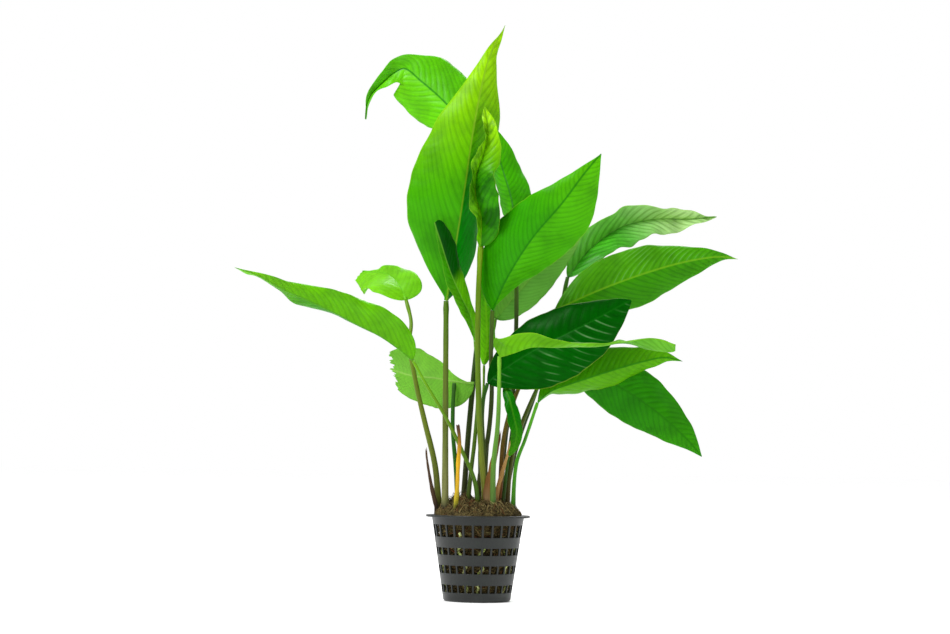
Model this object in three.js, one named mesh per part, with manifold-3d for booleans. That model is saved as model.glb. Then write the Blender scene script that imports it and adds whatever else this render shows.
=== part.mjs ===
// Potted anubias: a small net pot of dark plastic, filled with brown wool, from which
// eighteen leaves rise on long stems. Millimetres, +Z up, origin at the centre of the
// pot's underside, the front of the plant facing -Y.
import * as THREE from 'three';
import { mergeVertices } from 'three/addons/utils/BufferGeometryUtils.js';
import Module from 'manifold-3d';

// ---------------------------------------------------------------- driving sizes
const POT_HEIGHT = 46;
const POT_TOP_DIAMETER = 50;
const POT_BOTTOM_DIAMETER = 36;
const RIM_DIAMETER = 56;
const RIM_THICKNESS = 1.1;
const WALL = 1.0;
const FLOOR = 1.2;
const SLOTS_AROUND = 28;
const SLOT_SHARE = 0.77; // how much of each step round the pot is open
const SLOT_ROWS = [[5, 4], [15.2, 4.2], [25.1, 3.7], [34.6, 6.4]]; // [lower edge, height] for each row
const FLOOR_SLOTS = [7, 13.5]; // inner and outer radius of the slots in the floor

const CLEARANCE = 0.3; // between pieces that touch
const SOCKET_CLEARANCE = 0.6; // between a stem and its hole in the wool
const ROOT_SPACE = 2.4; // gap between the wool and the pot's wall, where the roots run
const ROOT_DIAMETER = 1.3;
const ROOT_COUNT = 9;
const WOOL_CROWN = 5; // how far the wool rises above the rim
const WOOL_LUMP = { x: -7, y: -3, height: 5, radius: 7 }; // the highest tuft
const STEM_DEPTH = 5; // how far the stems go down into the wool, below the rim
const RHIZOME_DIAMETER = 7;

const PLANT_SIZE = 1; // size of the leaves and stems against the full-grown plant
const BLADE_THICKNESS = 0.6;
const BLADE_STEPS = 10; // cross-sections along a leaf
const STEM_STEPS = 10;
const STEM_SIDES = 6;

// ---------------------------------------------------------------- the shoots
// Each shoot is a leaf and its stem. Points are [x, y, z] in mm from the centre of the
// pot's rim. rib: the midrib from the stem to the tip. half: the widths of the left and
// right halves, seen from the front with the tip up; widest: where along the rib each is
// widest; fullness: low for a broad round base, high for a wedge; length: the share of
// the rib that the blade reaches, where the tip has torn off; roll: where the end has
// rolled up, [from, to, share of the width left] for each half. leftTurn and rightTurn:
// degrees that each half is turned towards the front about the midrib, from stem to tip.
// foot: where the stem leaves the wool, in shares of the crown's radius. bends: [share of
// the way up, x, y], how far the stem leaves the straight line between foot and leaf.
// stem: diameter at the foot and at the leaf.
const SHOOTS = [
  { name: 'tall_front',
    rib: [[-19, -6, 115], [-15, -16, 139], [-10, -24, 173], [-5, -22, 211], [2, -14, 246],
      [11, -4, 267]],
    half: [31, 26], widest: [0.36, 0.34], fullness: [1.2, 0.7],
    leftTurn: [-10, -10, -10], rightTurn: [-55, -60, -40, -30],
    foot: [-0.8, -0.41], stem: [3.4, 2.6],
    bends: [[0.4, 0, -2], [0.7, 0, -2]] },
  { name: 'young_curled',
    rib: [[-1, -16, 144], [-1, -21, 160], [-4, -24, 170], [-4, -25, 181], [0, -25, 193],
      [2, -24, 205], [0, -22, 219]],
    half: [6, 13], widest: [0.4, 0.35], fullness: [0.5, 0.5],
    leftTurn: [50, 60, 60, 40], rightTurn: [20, 35, 30, 10],
    foot: [0.23, -0.18], stem: [3.2, 2.6],
    bends: [[0.3, -2.5, 0.5], [0.55, -3, -1.5], [0.8, -2, -1.5]] },
  { name: 'top_left',
    rib: [[-11, 20, 213], [-20, 24, 226], [-36, 30, 241], [-45, 33, 248], [-51, 34, 245.5],
      [-57, 33, 240], [-63, 31, 233], [-66, 29, 224], [-66, 27, 213]],
    half: [18.5, 21], widest: [0.3, 0.3], fullness: [0.6, 0.6],
    length: 0.95, roll: [[0.55, 0.63, 0.5], [0.43, 0.56, 0.45]],
    leftTurn: [-15, -15, -15, -10, 40, 60, 60], rightTurn: [-20, -20, -20, -10, 40, 60, 60],
    foot: [-0.39, 0.41], stem: [3, 2.4],
    bends: [[0.2, 2.8, -1.5], [0.35, 5.6, -0.5], [0.5, 8.6, 1.5], [0.65, 10.2, 3], [0.8, 7.5, 2]] },
  { name: 'behind_young',
    rib: [[18, 10, 157], [16, 20, 173], [11, 30, 191], [6, 34, 208], [1, 34, 220]],
    half: [13, 13], widest: [0.4, 0.4], fullness: [0.6, 0.6],
    leftTurn: [-60, -60, -50], rightTurn: [-20, -25, -20],
    foot: [0.5, 0.5], stem: [2.6, 2.2],
    bends: [[0.3, 1.5, 1.5], [0.45, 4, 1.5], [0.6, 4, -0.5], [0.8, 2.5, -3.5]] },
  { name: 'broad_right',
    rib: [[6, -10, 110], [13, -18, 126], [26, -28, 147], [42, -36, 166], [53, -40, 181],
      [62, -42, 192]],
    half: [22, 20.5], widest: [0.34, 0.56], fullness: [0.75, 1.45],
    leftTurn: [-25, -18, -10], rightTurn: [-15, -15, -15],
    foot: [-0.02, 0.18], stem: [2.8, 2],
    bends: [[0.25, 0, 3.5], [0.4, 2.5, 5], [0.6, 3, 8], [0.8, 1, 6]] },
  { name: 'pale_under',
    rib: [[8, 14, 107], [20, 24, 122], [35, 29, 139], [48, 30, 152], [57, 29, 162]],
    half: [13, 12], widest: [0.4, 0.4], fullness: [0.6, 0.6],
    leftTurn: [0, 0], rightTurn: [0, 0],
    foot: [0.14, 0.77], stem: [2, 1.6],
    bends: [[0.4, -0.4, 0.5], [0.6, 0.4, 1], [0.8, -1.4, 0.5], [0.9, -1.2, 0]] },
  { name: 'wavy_top_right',
    rib: [[48, 32, 132], [60, 40, 148], [78, 50, 162], [98, 58, 168], [119, 63, 169], [135, 66, 171]],
    half: [12, 16], widest: [0.38, 0.38], fullness: [0.6, 0.6],
    leftTurn: [30, 45, 50], rightTurn: [45, 45, 40],
    foot: [0.64, 0.68], stem: [2.2, 2],
    bends: [[0.2, -3.5, -2.5], [0.35, -3.5, -3], [0.5, -1.5, -1.5], [0.75, 1, 1.5]] },
  { name: 'broad_top_right',
    rib: [[40, 12, 112], [65, 16, 124], [93, 22, 135], [116, 28, 142], [134, 34, 145], [144, 37, 144]],
    half: [17, 17.5], widest: [0.4, 0.4], fullness: [0.95, 0.95],
    leftTurn: [-15, -15, -15], rightTurn: [-20, -20, -20],
    foot: [0.52, 0.23], stem: [2.6, 1.8],
    bends: [[0.4, -9.5, -1], [0.55, -9.5, 0], [0.7, -7, 2], [0.85, -3, 2]] },
  { name: 'dark_mid',
    rib: [[4, -5, 71], [16, -8, 81], [34, -13, 92], [56, -14, 103], [70, -12, 111], [81, -10, 117]],
    half: [17, 23], widest: [0.45, 0.45], fullness: [0.75, 0.75],
    leftTurn: [-20, -20, -20], rightTurn: [0, 10, 0],
    foot: [0.26, -0.01], stem: [2.6, 1.8],
    bends: [[0.5, -2, 0.5], [0.75, -3, -1], [0.9, -2, -1.5]] },
  { name: 'edge_on',
    rib: [[10, -20, 85], [16, -26, 86], [26, -35, 89], [41, -45, 89], [62, -55, 89.5],
      [87, -64, 93.5], [100, -69, 90]],
    half: [13, 9], widest: [0.12, 0.7], fullness: [0.35, 0.6],
    leftTurn: [35, 50, 62, 72, 82, 60], rightTurn: [-105, -105, -105, -105, -100, -45, -45],
    foot: [0.37, -0.55], stem: [3, 1.8],
    bends: [[0.35, -1, 1], [0.6, 0.5, 0], [0.8, 0.5, -0.5]] },
  { name: 'low_right',
    rib: [[31, -8, 61], [38, -8, 67], [48, -6, 71], [65, -2, 77], [87, 4, 84], [101, 8, 87],
      [111, 10, 85]],
    half: [15, 13], widest: [0.42, 0.42], fullness: [0.95, 0.95],
    leftTurn: [-20, -20, -20], rightTurn: [-75, -50, -40],
    foot: [0.84, -0.14], stem: [2.2, 1.6],
    bends: [[0.5, -4.5, 1.5], [0.7, -2.5, 1.5]] },
  { name: 'lowest_right',
    rib: [[43, 4, 83], [60, 9, 79], [78, 13, 70], [99, 17, 56], [115, 20, 42], [123, 22, 33]],
    half: [16, 16], widest: [0.45, 0.45], fullness: [0.9, 0.9],
    leftTurn: [-15, -15, -15], rightTurn: [-15, -15, -15],
    foot: [0.7, 0.18], stem: [2.6, 1.8],
    bends: [[0.35, -8, 2], [0.55, -9.5, 4], [0.75, -8.5, 5], [0.9, -6, 4]] },
  { name: 'hanging_twist', joint: [14, -1, 71],
    rib: [[13, -3, 70], [16, -8, 62], [18, -10, 54], [20, -11, 45], [19, -10, 38], [16, -9, 32]],
    half: [3.6, 3.6], widest: [0.45, 0.45], fullness: [0.45, 0.45],
    leftTurn: [-20, -10, 10], rightTurn: [-30, 20, -10],
    foot: [0.55, -0.09], stem: [1.8, 1.4],
    bends: [[0.5, 3, 5.5], [0.75, 4.5, 6.5], [0.95, 3, 6]] },
  { name: 'long_left',
    rib: [[-36, -20, 82], [-50, -28, 92], [-68, -37, 101], [-85, -45, 109], [-102, -52, 116],
      [-116, -58, 123], [-128, -62, 127]],
    half: [8, 15], widest: [0.4, 0.25], fullness: [0.5, 0.5],
    leftTurn: [-100, -100, -95, -60, -75, -80], rightTurn: [-15, -15, -15],
    foot: [0.02, -0.41], stem: [2.4, 1.4],
    bends: [[0.25, 7, 1], [0.45, 7, -1], [0.65, 5.5, -2], [0.85, 2, -1.5]] },
  { name: 'pale_left',
    rib: [[-41, 8, 116], [-44.7, 13, 124.2], [-51.4, 26, 131.2], [-61, 42, 134], [-76, 64, 135.5]],
    half: [18, 12], widest: [0.3, 0.14], fullness: [0.5, 0.5],
    length: 0.8,
    leftTurn: [30, 30, 30], rightTurn: [-15, -15, -15],
    foot: [-0.95, 0], stem: [3.4, 1.8],
    bends: [[0.25, 2.5, -4], [0.45, 0.5, -7.5], [0.6, -1, -9], [0.8, -1.5, -8.5], [0.9, 1, -4]] },
  { name: 'torn_left', joint: [-14, 4, 71],
    rib: [[-3, 4, 71], [-14, 6, 72], [-25, 12, 74], [-36, 18, 75], [-47, 24, 78], [-60, 30, 82]],
    half: [16, 16], widest: [0.3, 0.65], fullness: [0.5, 1.8],
    length: 0.8,
    leftTurn: [0, 0, 0], rightTurn: [0, -10, -10],
    foot: [-0.48, 0.05], stem: [2.4, 2],
    bends: [[0.4, -0.5, -1.5], [0.65, -1.5, -2], [0.85, -1, -1.5]] },
  { name: 'slim_front',
    rib: [[-3.1, -5, 93.7], [-6, -9, 106.9], [-11, -14, 116.8], [-14.8, -20, 124.3],
      [-19.2, -29, 135.2], [-22.9, -37, 146.1], [-25.6, -42, 154]],
    half: [6, 11], widest: [0.4, 0.7], fullness: [1.0, 1.0],
    leftTurn: [45, 50, 45], rightTurn: [-40, -45, -45],
    foot: [-0.3, -0.14], stem: [2.4, 1.6],
    bends: [[0.3, 1.5, 0], [0.45, 2.5, 0], [0.7, 3, 1], [0.9, 1.5, 0]] },
  { name: 'small_back',
    rib: [[2, 2, 81], [3.4, 2, 95], [2.8, 2, 108], [1.3, 1, 126]],
    half: [5, 5], widest: [0.45, 0.45], fullness: [0.6, 0.6],
    leftTurn: [-20, -20], rightTurn: [-20, -20],
    foot: [0.07, 0.5], stem: [1.6, 1.2],
    bends: [[0.45, -1.5, 2], [0.65, -1, 1], [0.85, 0, 0.5]] },
];

// Strips and stalks with no blade, named, from the foot (shares of the crown's radius) up
// through points in mm from the rim's centre. width and depth are those of the section.
const DRY_PIECES = [
  { name: 'dead_stalk', foot: [-0.6, -0.68], points: [[-11.5, -17, 12], [-11, -19, 28], [-10.5, -20, 40], [-11.5, -20, 48]],
    width: [2.4, 1.9], depth: [2.2, 1.8], look: 'deadStalk' },
  { name: 'dry_sheath_brown', foot: [0.28, -0.35], points: [[5.4, -7.5, 13], [7, -7, 25], [11, -5.8, 43]],
    width: [6.4, 1.4], depth: [1, 0.6], look: 'brownSheath' },
  { name: 'dry_sheath_tan', foot: [0.43, 0], points: [[10, -2, 12], [13, -1.5, 24], [17, -1, 38]],
    width: [3.6, 1.0], depth: [1, 0.6], look: 'tanSheath' },
  { name: 'old_sheath_dark', foot: [-0.9, -0.2], points: [[-24.5, -5, 12], [-27, -5.5, 24], [-28.5, -6, 34]],
    width: [3, 0.8], depth: [1.2, 0.6], look: 'darkSheath' },
];

const LOOKS = {
  pot: { color: 0x33373a, roughness: 0.5, metalness: 0 },
  wool: { color: 0x6b5c33, roughness: 1, metalness: 0 },
  rhizome: { color: 0x55602a, roughness: 0.8, metalness: 0 },
  root: { color: 0xc3c98f, roughness: 0.7, metalness: 0 },
  blade: { color: 0x4c9a10, roughness: 0.4, metalness: 0 },
  stem: { color: 0x68862a, roughness: 0.5, metalness: 0 },
  deadStalk: { color: 0xb7a03a, roughness: 0.7, metalness: 0 },
  brownSheath: { color: 0x7a4a24, roughness: 0.9, metalness: 0 },
  tanSheath: { color: 0xb98a4a, roughness: 0.9, metalness: 0 },
  darkSheath: { color: 0x3a2c1c, roughness: 0.9, metalness: 0 },
};

// ---------------------------------------------------------------- sizes that follow
const potSlope = (POT_TOP_DIAMETER - POT_BOTTOM_DIAMETER) / 2 / POT_HEIGHT;
const potRadius = (z) => POT_BOTTOM_DIAMETER / 2 + potSlope * z; // outside of the wall
const crownRadius = potRadius(POT_HEIGHT) - WALL - 2;
const footZ = -STEM_DEPTH;

const object = new THREE.Group();
const plant = new THREE.Group(); // its origin is the centre of the rim
plant.position.z = POT_HEIGHT;
object.add(plant);

function addPiece(parent, name, geometry, look) {
  geometry.computeVertexNormals();
  const mesh = new THREE.Mesh(geometry, new THREE.MeshStandardMaterial(LOOKS[look]));
  mesh.name = name;
  parent.add(mesh);
}

function meshOf(points, triangles) {
  const geometry = new THREE.BufferGeometry();
  const numbers = points.flatMap((point) => point.toArray());
  geometry.setAttribute('position', new THREE.Float32BufferAttribute(numbers, 3));
  geometry.setIndex(triangles);
  return geometry;
}

const wasm = await Module();
wasm.setup();

function toSolid(geometry) {
  const bare = geometry.clone();
  bare.deleteAttribute('normal');
  bare.deleteAttribute('uv');
  const merged = mergeVertices(bare, 1e-4);
  return new wasm.Manifold(new wasm.Mesh({
    numProp: 3,
    vertProperties: new Float32Array(merged.attributes.position.array),
    triVerts: new Uint32Array(merged.index.array),
  }));
}

function fromSolid(solid) {
  const { vertProperties, triVerts } = solid.getMesh();
  const geometry = new THREE.BufferGeometry();
  geometry.setAttribute('position', new THREE.Float32BufferAttribute(vertProperties, 3));
  geometry.setIndex(new THREE.Uint32BufferAttribute(triVerts, 1));
  return geometry;
}

// ---------------------------------------------------------------- curves and sections
const toPoint = ([x, y, z]) => new THREE.Vector3(x, y, z).multiplyScalar(PLANT_SIZE);
const curveThrough = (points) => new THREE.CatmullRomCurve3(points, false, 'centripetal');

// Directions at share u of a curve: along it, sideways to the left as seen from the
// front, and out of the curve towards the front.
function frameAt(curve, u) {
  const along = curve.getTangentAt(u);
  const front = new THREE.Vector3(0, -1, 0).addScaledVector(along, along.y).normalize();
  return { along, front, left: front.clone().cross(along) };
}

// A value that eases from one station to the next, the stations evenly spread over 0..1.
function eased(values, u) {
  const place = u * (values.length - 1);
  const i = Math.min(Math.floor(place), values.length - 2);
  return THREE.MathUtils.lerp(values[i], values[i + 1], THREE.MathUtils.smoothstep(place - i, 0, 1));
}

// A closed rod along a curve with an oval section that runs from the first width and
// depth to the last.
function rodAlong(curve, width, depth, steps, sides) {
  const points = [];
  const triangles = [];
  for (let i = 0; i <= steps; i += 1) {
    const u = i / steps;
    const centre = curve.getPointAt(u);
    const { left, front } = frameAt(curve, u);
    const halfWidth = THREE.MathUtils.lerp(width[0], width[1], u) / 2;
    const halfDepth = THREE.MathUtils.lerp(depth[0], depth[1], u) / 2;
    for (let j = 0; j < sides; j += 1) {
      const angle = (2 * Math.PI * j) / sides;
      points.push(centre.clone()
        .addScaledVector(left, halfWidth * Math.cos(angle))
        .addScaledVector(front, halfDepth * Math.sin(angle)));
      if (i < steps) {
        const a = i * sides + j;
        const b = i * sides + ((j + 1) % sides);
        triangles.push(a, b, a + sides, b, b + sides, a + sides);
      }
    }
  }
  const last = steps * sides;
  for (let j = 1; j < sides - 1; j += 1) {
    triangles.push(0, j + 1, j, last, last + j, last + j + 1);
  }
  return meshOf(points, triangles);
}

// ---------------------------------------------------------------- leaves and stems
// Half-width of a blade as a share of its widest: grows as a power of the distance from
// the stem and falls as a power of the distance from the tip.
function widthShare(u, widest, fullness) {
  const fall = (fullness * (1 - widest)) / widest;
  return ((u / widest) ** fullness) * (((1 - u) / (1 - widest)) ** fall);
}

// Where a leaf's end has rolled up, it narrows between two shares of the rib.
function rollShare(u, roll) {
  return roll ? THREE.MathUtils.lerp(1, roll[2], THREE.MathUtils.smoothstep(u, roll[0], roll[1])) : 1;
}

// A blade is a thin slab: a grid of rows across the midrib, offset to both sides.
function bladeOf(shoot) {
  const rib = curveThrough(shoot.rib.map(toPoint));
  const columns = [-1, -0.5, 0, 0.5, 1]; // from the left margin to the right one
  const nearStem = 0.012; // the first and last rows stop just short of a point
  const nearTip = 0.992 * (shoot.length ?? 1);
  const upper = [];
  const lower = [];
  for (let i = 0; i <= BLADE_STEPS; i += 1) {
    const u = nearStem + ((nearTip - nearStem) * i) / BLADE_STEPS;
    const { left, front } = frameAt(rib, u);
    const centre = rib.getPointAt(u);
    const turns = [eased(shoot.leftTurn, u), eased(shoot.rightTurn, u)].map(THREE.MathUtils.degToRad);
    const outward = turns.map((turn, side) => left.clone()
      .multiplyScalar((side === 0 ? 1 : -1) * Math.cos(turn))
      .addScaledVector(front, Math.sin(turn)));
    const faces = [
      front.clone().multiplyScalar(Math.cos(turns[0])).addScaledVector(left, -Math.sin(turns[0])),
      front.clone().multiplyScalar(Math.cos(turns[1])).addScaledVector(left, Math.sin(turns[1])),
    ];
    const middle = faces[0].clone().add(faces[1]).normalize(); // the crease along the midrib
    for (const column of columns) {
      const side = column < 0 ? 0 : 1;
      const reach = shoot.half[side] * PLANT_SIZE * rollShare(u, shoot.roll?.[side])
        * widthShare(u, shoot.widest[side], shoot.fullness[side]);
      const place = centre.clone().addScaledVector(outward[side], reach * Math.abs(column));
      const face = column === 0 ? middle : faces[side];
      upper.push(place.clone().addScaledVector(face, BLADE_THICKNESS / 2));
      lower.push(place.clone().addScaledVector(face, -BLADE_THICKNESS / 2));
    }
  }
  const across = columns.length;
  const under = upper.length;
  const triangles = [];
  const quad = (a, b, c, d) => triangles.push(a, b, c, a, c, d);
  for (let i = 0; i < BLADE_STEPS; i += 1) {
    for (let j = 0; j < across - 1; j += 1) {
      const a = i * across + j;
      quad(a, a + 1, a + across + 1, a + across);
      quad(under + a, under + a + across, under + a + across + 1, under + a + 1);
    }
    const left = i * across;
    const right = left + across - 1;
    quad(left, left + across, under + left + across, under + left);
    quad(right, under + right, under + right + across, right + across);
  }
  for (let j = 0; j < across - 1; j += 1) {
    const last = BLADE_STEPS * across + j;
    quad(j, under + j, under + j + 1, j + 1);
    quad(last, last + 1, under + last + 1, under + last);
  }
  return meshOf([...upper, ...lower], triangles);
}

const footOf = ([x, y]) => new THREE.Vector3(x * crownRadius, y * crownRadius, footZ);

// The stem's line: from its foot through its bends to a little below the blade.
function stemCurve(shoot) {
  const foot = footOf(shoot.foot);
  const top = toPoint(shoot.joint ?? shoot.rib[0]);
  const bends = shoot.bends.map(([share, x, y]) => foot.clone().lerp(top, share)
    .add(new THREE.Vector3(x, y, 0).multiplyScalar(PLANT_SIZE)));
  const before = bends.at(-1) ?? foot;
  const end = top.clone().addScaledVector(top.clone().sub(before).normalize(), -CLEARANCE - 0.5);
  return curveThrough([foot, ...bends, end]);
}

const rods = []; // everything that stands in the wool, for its holes
for (const shoot of SHOOTS) {
  const curve = stemCurve(shoot);
  rods.push({ curve, width: shoot.stem, depth: shoot.stem });
  addPiece(plant, `stem_${shoot.name}`, rodAlong(curve, shoot.stem, shoot.stem, STEM_STEPS, STEM_SIDES), 'stem');
  addPiece(plant, `leaf_${shoot.name}`, bladeOf(shoot), 'blade');
}
for (const piece of DRY_PIECES) {
  // its points keep to its foot when the plant's size changes
  const foot = footOf(piece.foot);
  const points = piece.points.map((point) => foot.clone().lerp(new THREE.Vector3(...point), PLANT_SIZE));
  const curve = curveThrough([foot, ...points]);
  rods.push({ curve, width: piece.width, depth: piece.depth });
  addPiece(plant, piece.name, rodAlong(curve, piece.width, piece.depth, STEM_STEPS, STEM_SIDES), piece.look);
}

// ---------------------------------------------------------------- rhizome
// The creeping rootstock lies just under the feet of the stems.
const rhizomeZ = footZ - 2 * CLEARANCE - RHIZOME_DIAMETER / 2;
const rhizomeCurve = curveThrough([[-0.75, -0.2], [-0.3, 0.1], [0.2, -0.05], [0.7, 0.1]]
  .map(([x, y]) => new THREE.Vector3(x * crownRadius, y * crownRadius, rhizomeZ)));
const ofSize = (size) => [size, size];
addPiece(plant, 'rhizome', rodAlong(rhizomeCurve, ofSize(RHIZOME_DIAMETER), ofSize(RHIZOME_DIAMETER), 10, 12), 'rhizome');

// ---------------------------------------------------------------- wool
// A lumpy plug turned round the axis: it follows the pot's wall at a distance, fills the
// mouth of the pot and swells into a low mound above the rim.
function woolBlock() {
  const bottom = FLOOR + CLEARANCE - POT_HEIGHT;
  const wallAt = (z) => potRadius(z + POT_HEIGHT) - WALL;
  const neck = -6; // below this the roots have their space
  const profile = [new THREE.Vector2(0, bottom), new THREE.Vector2(wallAt(bottom) - ROOT_SPACE - 1, bottom)];
  for (const share of [0.1, 0.5, 1]) {
    const z = THREE.MathUtils.lerp(bottom, neck, share);
    profile.push(new THREE.Vector2(wallAt(z) - ROOT_SPACE, z));
  }
  profile.push(new THREE.Vector2(wallAt(-2) - CLEARANCE, -2), new THREE.Vector2(wallAt(-2) - CLEARANCE, 1));
  for (const [share, rise] of [[0.97, 0.5], [0.8, 0.8], [0.55, 0.95], [0.28, 1]]) {
    profile.push(new THREE.Vector2(crownRadius * share, WOOL_CROWN * rise));
  }
  profile.push(new THREE.Vector2(0, WOOL_CROWN));
  const geometry = new THREE.LatheGeometry(profile, 24);
  geometry.rotateX(Math.PI / 2);
  const position = geometry.attributes.position;
  for (let i = 0; i < position.count; i += 1) {
    const x = position.getX(i);
    const y = position.getY(i);
    const z = position.getZ(i);
    const lump = Math.sin(0.35 * x + 1.1) * Math.cos(0.31 * y - 0.4) + 0.5 * Math.sin(0.8 * x - 0.6 * y);
    const tuft = Math.exp(-(((x - WOOL_LUMP.x) ** 2) + ((y - WOOL_LUMP.y) ** 2)) / (WOOL_LUMP.radius ** 2));
    const exposed = THREE.MathUtils.smoothstep(z, 0.9, WOOL_CROWN);
    position.setZ(i, z + exposed * (0.7 * lump + WOOL_LUMP.height * tuft));
  }
  return geometry;
}

let wool = toSolid(woolBlock());
const widened = (sizes) => sizes.map((size) => size + 2 * SOCKET_CLEARANCE);
const [head, ...body] = rhizomeCurve.points;
const tail = body.pop();
const beyond = new THREE.Vector3(SOCKET_CLEARANCE, 0, 0);
const rhizomeHollow = curveThrough([head.clone().sub(beyond), ...body, tail.clone().add(beyond)]);
wool = wool.subtract(toSolid(
  rodAlong(rhizomeHollow, widened(ofSize(RHIZOME_DIAMETER)), widened(ofSize(RHIZOME_DIAMETER)), 10, 12),
));
for (const { curve, width, depth } of rods) {
  // the buried part of the rod, made a little thicker and longer at the foot
  const reach = 2.6 * (STEM_DEPTH + WOOL_CROWN);
  const share = Math.min(1, reach / curve.getLength());
  const buried = [];
  for (let i = 0; i <= 6; i += 1) buried.push(curve.getPointAt((share * i) / 6));
  buried.unshift(buried[0].clone().add(new THREE.Vector3(0, 0, -CLEARANCE)));
  const hole = rodAlong(curveThrough(buried), widened(ofSize(width[0])), widened(ofSize(depth[0])), 8, STEM_SIDES);
  wool = wool.subtract(toSolid(hole));
}
addPiece(plant, 'wool_plug', fromSolid(wool), 'wool');

// ---------------------------------------------------------------- roots
// Pale roots run down between the wool and the wall, each winding a little round the pot.
for (let i = 0; i < ROOT_COUNT; i += 1) {
  const start = (2 * Math.PI * i) / ROOT_COUNT;
  const sweep = (i % 2 === 0 ? 1 : -1) * 0.2;
  const top = POT_HEIGHT * (0.8 - 0.08 * (i % 3));
  const bottom = FLOOR + 2 * CLEARANCE + ROOT_DIAMETER;
  const points = [];
  for (let k = 0; k <= 6; k += 1) {
    const share = k / 6;
    const z = THREE.MathUtils.lerp(top, bottom, share);
    const angle = start + sweep * share;
    const radius = potRadius(z) - WALL - ROOT_SPACE / 2;
    points.push(new THREE.Vector3(radius * Math.cos(angle), radius * Math.sin(angle), z));
  }
  addPiece(object, `root_${i + 1}`, rodAlong(curveThrough(points), ofSize(ROOT_DIAMETER), ofSize(ROOT_DIAMETER), 12, 6), 'root');
}

// ---------------------------------------------------------------- net pot
// One moulded shell: an outer and an inner line of points from the middle of the floor to
// the edge of the rim, carried round the axis in steps. In the slot rows every other
// column is left open and gets four side faces.
function netPot() {
  const top = POT_HEIGHT;
  const edge = 1; // bevel between floor and wall
  const inner = (z) => potRadius(z) - WALL;
  const lines = [
    { out: [0, 0], in: [0, FLOOR] },
    { out: [FLOOR_SLOTS[0], 0], in: [FLOOR_SLOTS[0], FLOOR], open: true },
    { out: [FLOOR_SLOTS[1], 0], in: [FLOOR_SLOTS[1], FLOOR] },
    { out: [potRadius(0) - edge, 0], in: [inner(FLOOR) - edge / 2, FLOOR] },
    { out: [potRadius(edge), edge], in: [inner(FLOOR + edge / 2), FLOOR + edge / 2] },
  ];
  for (const [low, height] of SLOT_ROWS) {
    lines.push({ out: [potRadius(low), low], in: [inner(low), low], open: true });
    lines.push({ out: [potRadius(low + height), low + height], in: [inner(low + height), low + height] });
  }
  lines.push({ out: [potRadius(top - RIM_THICKNESS), top - RIM_THICKNESS], in: [inner(top), top] });
  lines.push({ out: [RIM_DIAMETER / 2, top - RIM_THICKNESS], in: [RIM_DIAMETER / 2, top] });

  const columns = 2 * SLOTS_AROUND;
  const step = (2 * Math.PI) / SLOTS_AROUND;
  const angleOf = (j) => step * (Math.floor(j / 2) + (j % 2 === 0 ? -SLOT_SHARE / 2 : SLOT_SHARE / 2));
  const points = [];
  const place = ([radius, z], j) => new THREE.Vector3(radius * Math.cos(angleOf(j)), radius * Math.sin(angleOf(j)), z);
  const out = (k, j) => (k * columns + (j % columns)) * 2;
  const into = (k, j) => out(k, j) + 1;
  lines.forEach((line) => {
    for (let j = 0; j < columns; j += 1) points.push(place(line.out, j), place(line.in, j));
  });
  const triangles = [];
  const quad = (a, b, c, d) => triangles.push(a, b, c, a, c, d);
  const isOpen = (k, j) => Boolean(lines[k].open) && j % 2 === 0;
  for (let j = 0; j < columns; j += 1) {
    triangles.push(out(0, 0), out(1, j + 1), out(1, j), into(0, 0), into(1, j), into(1, j + 1));
    for (let k = 1; k < lines.length - 1; k += 1) {
      if (isOpen(k, j)) {
        quad(out(k, j), out(k, j + 1), into(k, j + 1), into(k, j));
        quad(out(k + 1, j), into(k + 1, j), into(k + 1, j + 1), out(k + 1, j + 1));
        quad(out(k, j), into(k, j), into(k + 1, j), out(k + 1, j));
        quad(out(k, j + 1), out(k + 1, j + 1), into(k + 1, j + 1), into(k, j + 1));
      } else {
        quad(out(k, j), out(k, j + 1), out(k + 1, j + 1), out(k + 1, j));
        quad(into(k, j), into(k + 1, j), into(k + 1, j + 1), into(k, j + 1));
      }
    }
    const rim = lines.length - 1;
    quad(out(rim, j), out(rim, j + 1), into(rim, j + 1), into(rim, j));
  }
  return mergeVertices(meshOf(points, triangles), 1e-4);
}
addPiece(object, 'net_pot', netPot(), 'pot');

export default object;
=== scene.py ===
# %% [markdown]
# # Potted anubias
# A small water plant in a net pot of dark plastic. Eighteen leaves stand on long stems
# that come out of a plug of brown wool. The engineering model of the plant gives every
# piece its place and size; this notebook makes the surfaces that the eye sees. The frame
# is loaded first, because every later step asks it where things are.

import bpy
import numpy as np
from mathutils import Matrix


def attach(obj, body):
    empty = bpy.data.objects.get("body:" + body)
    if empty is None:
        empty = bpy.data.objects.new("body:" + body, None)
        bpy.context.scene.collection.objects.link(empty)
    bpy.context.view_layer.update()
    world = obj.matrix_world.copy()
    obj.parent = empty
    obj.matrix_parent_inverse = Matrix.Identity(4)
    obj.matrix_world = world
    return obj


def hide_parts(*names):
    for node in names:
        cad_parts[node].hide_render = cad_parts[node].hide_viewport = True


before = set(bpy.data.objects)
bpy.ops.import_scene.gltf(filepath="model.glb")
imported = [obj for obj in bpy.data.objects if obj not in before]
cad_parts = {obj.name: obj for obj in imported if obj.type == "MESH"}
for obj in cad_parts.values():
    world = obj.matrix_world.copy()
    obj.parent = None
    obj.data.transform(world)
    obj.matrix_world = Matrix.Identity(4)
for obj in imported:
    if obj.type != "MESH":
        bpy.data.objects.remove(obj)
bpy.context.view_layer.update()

# %% [markdown]
# ## Camera, light and floor
# The plant is looked at almost level, from a little over a metre away with a long lens,
# so that its tall stems stay parallel. The camera leans by less than a degree. A single
# sun would be simpler, but it would leave the far sides of the leaves black. So a white
# world works as a tent of soft light all round, which lets the thin leaves glow, and three
# big soft lamps, the strongest at the left and behind, give the leaves their shape.

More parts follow.
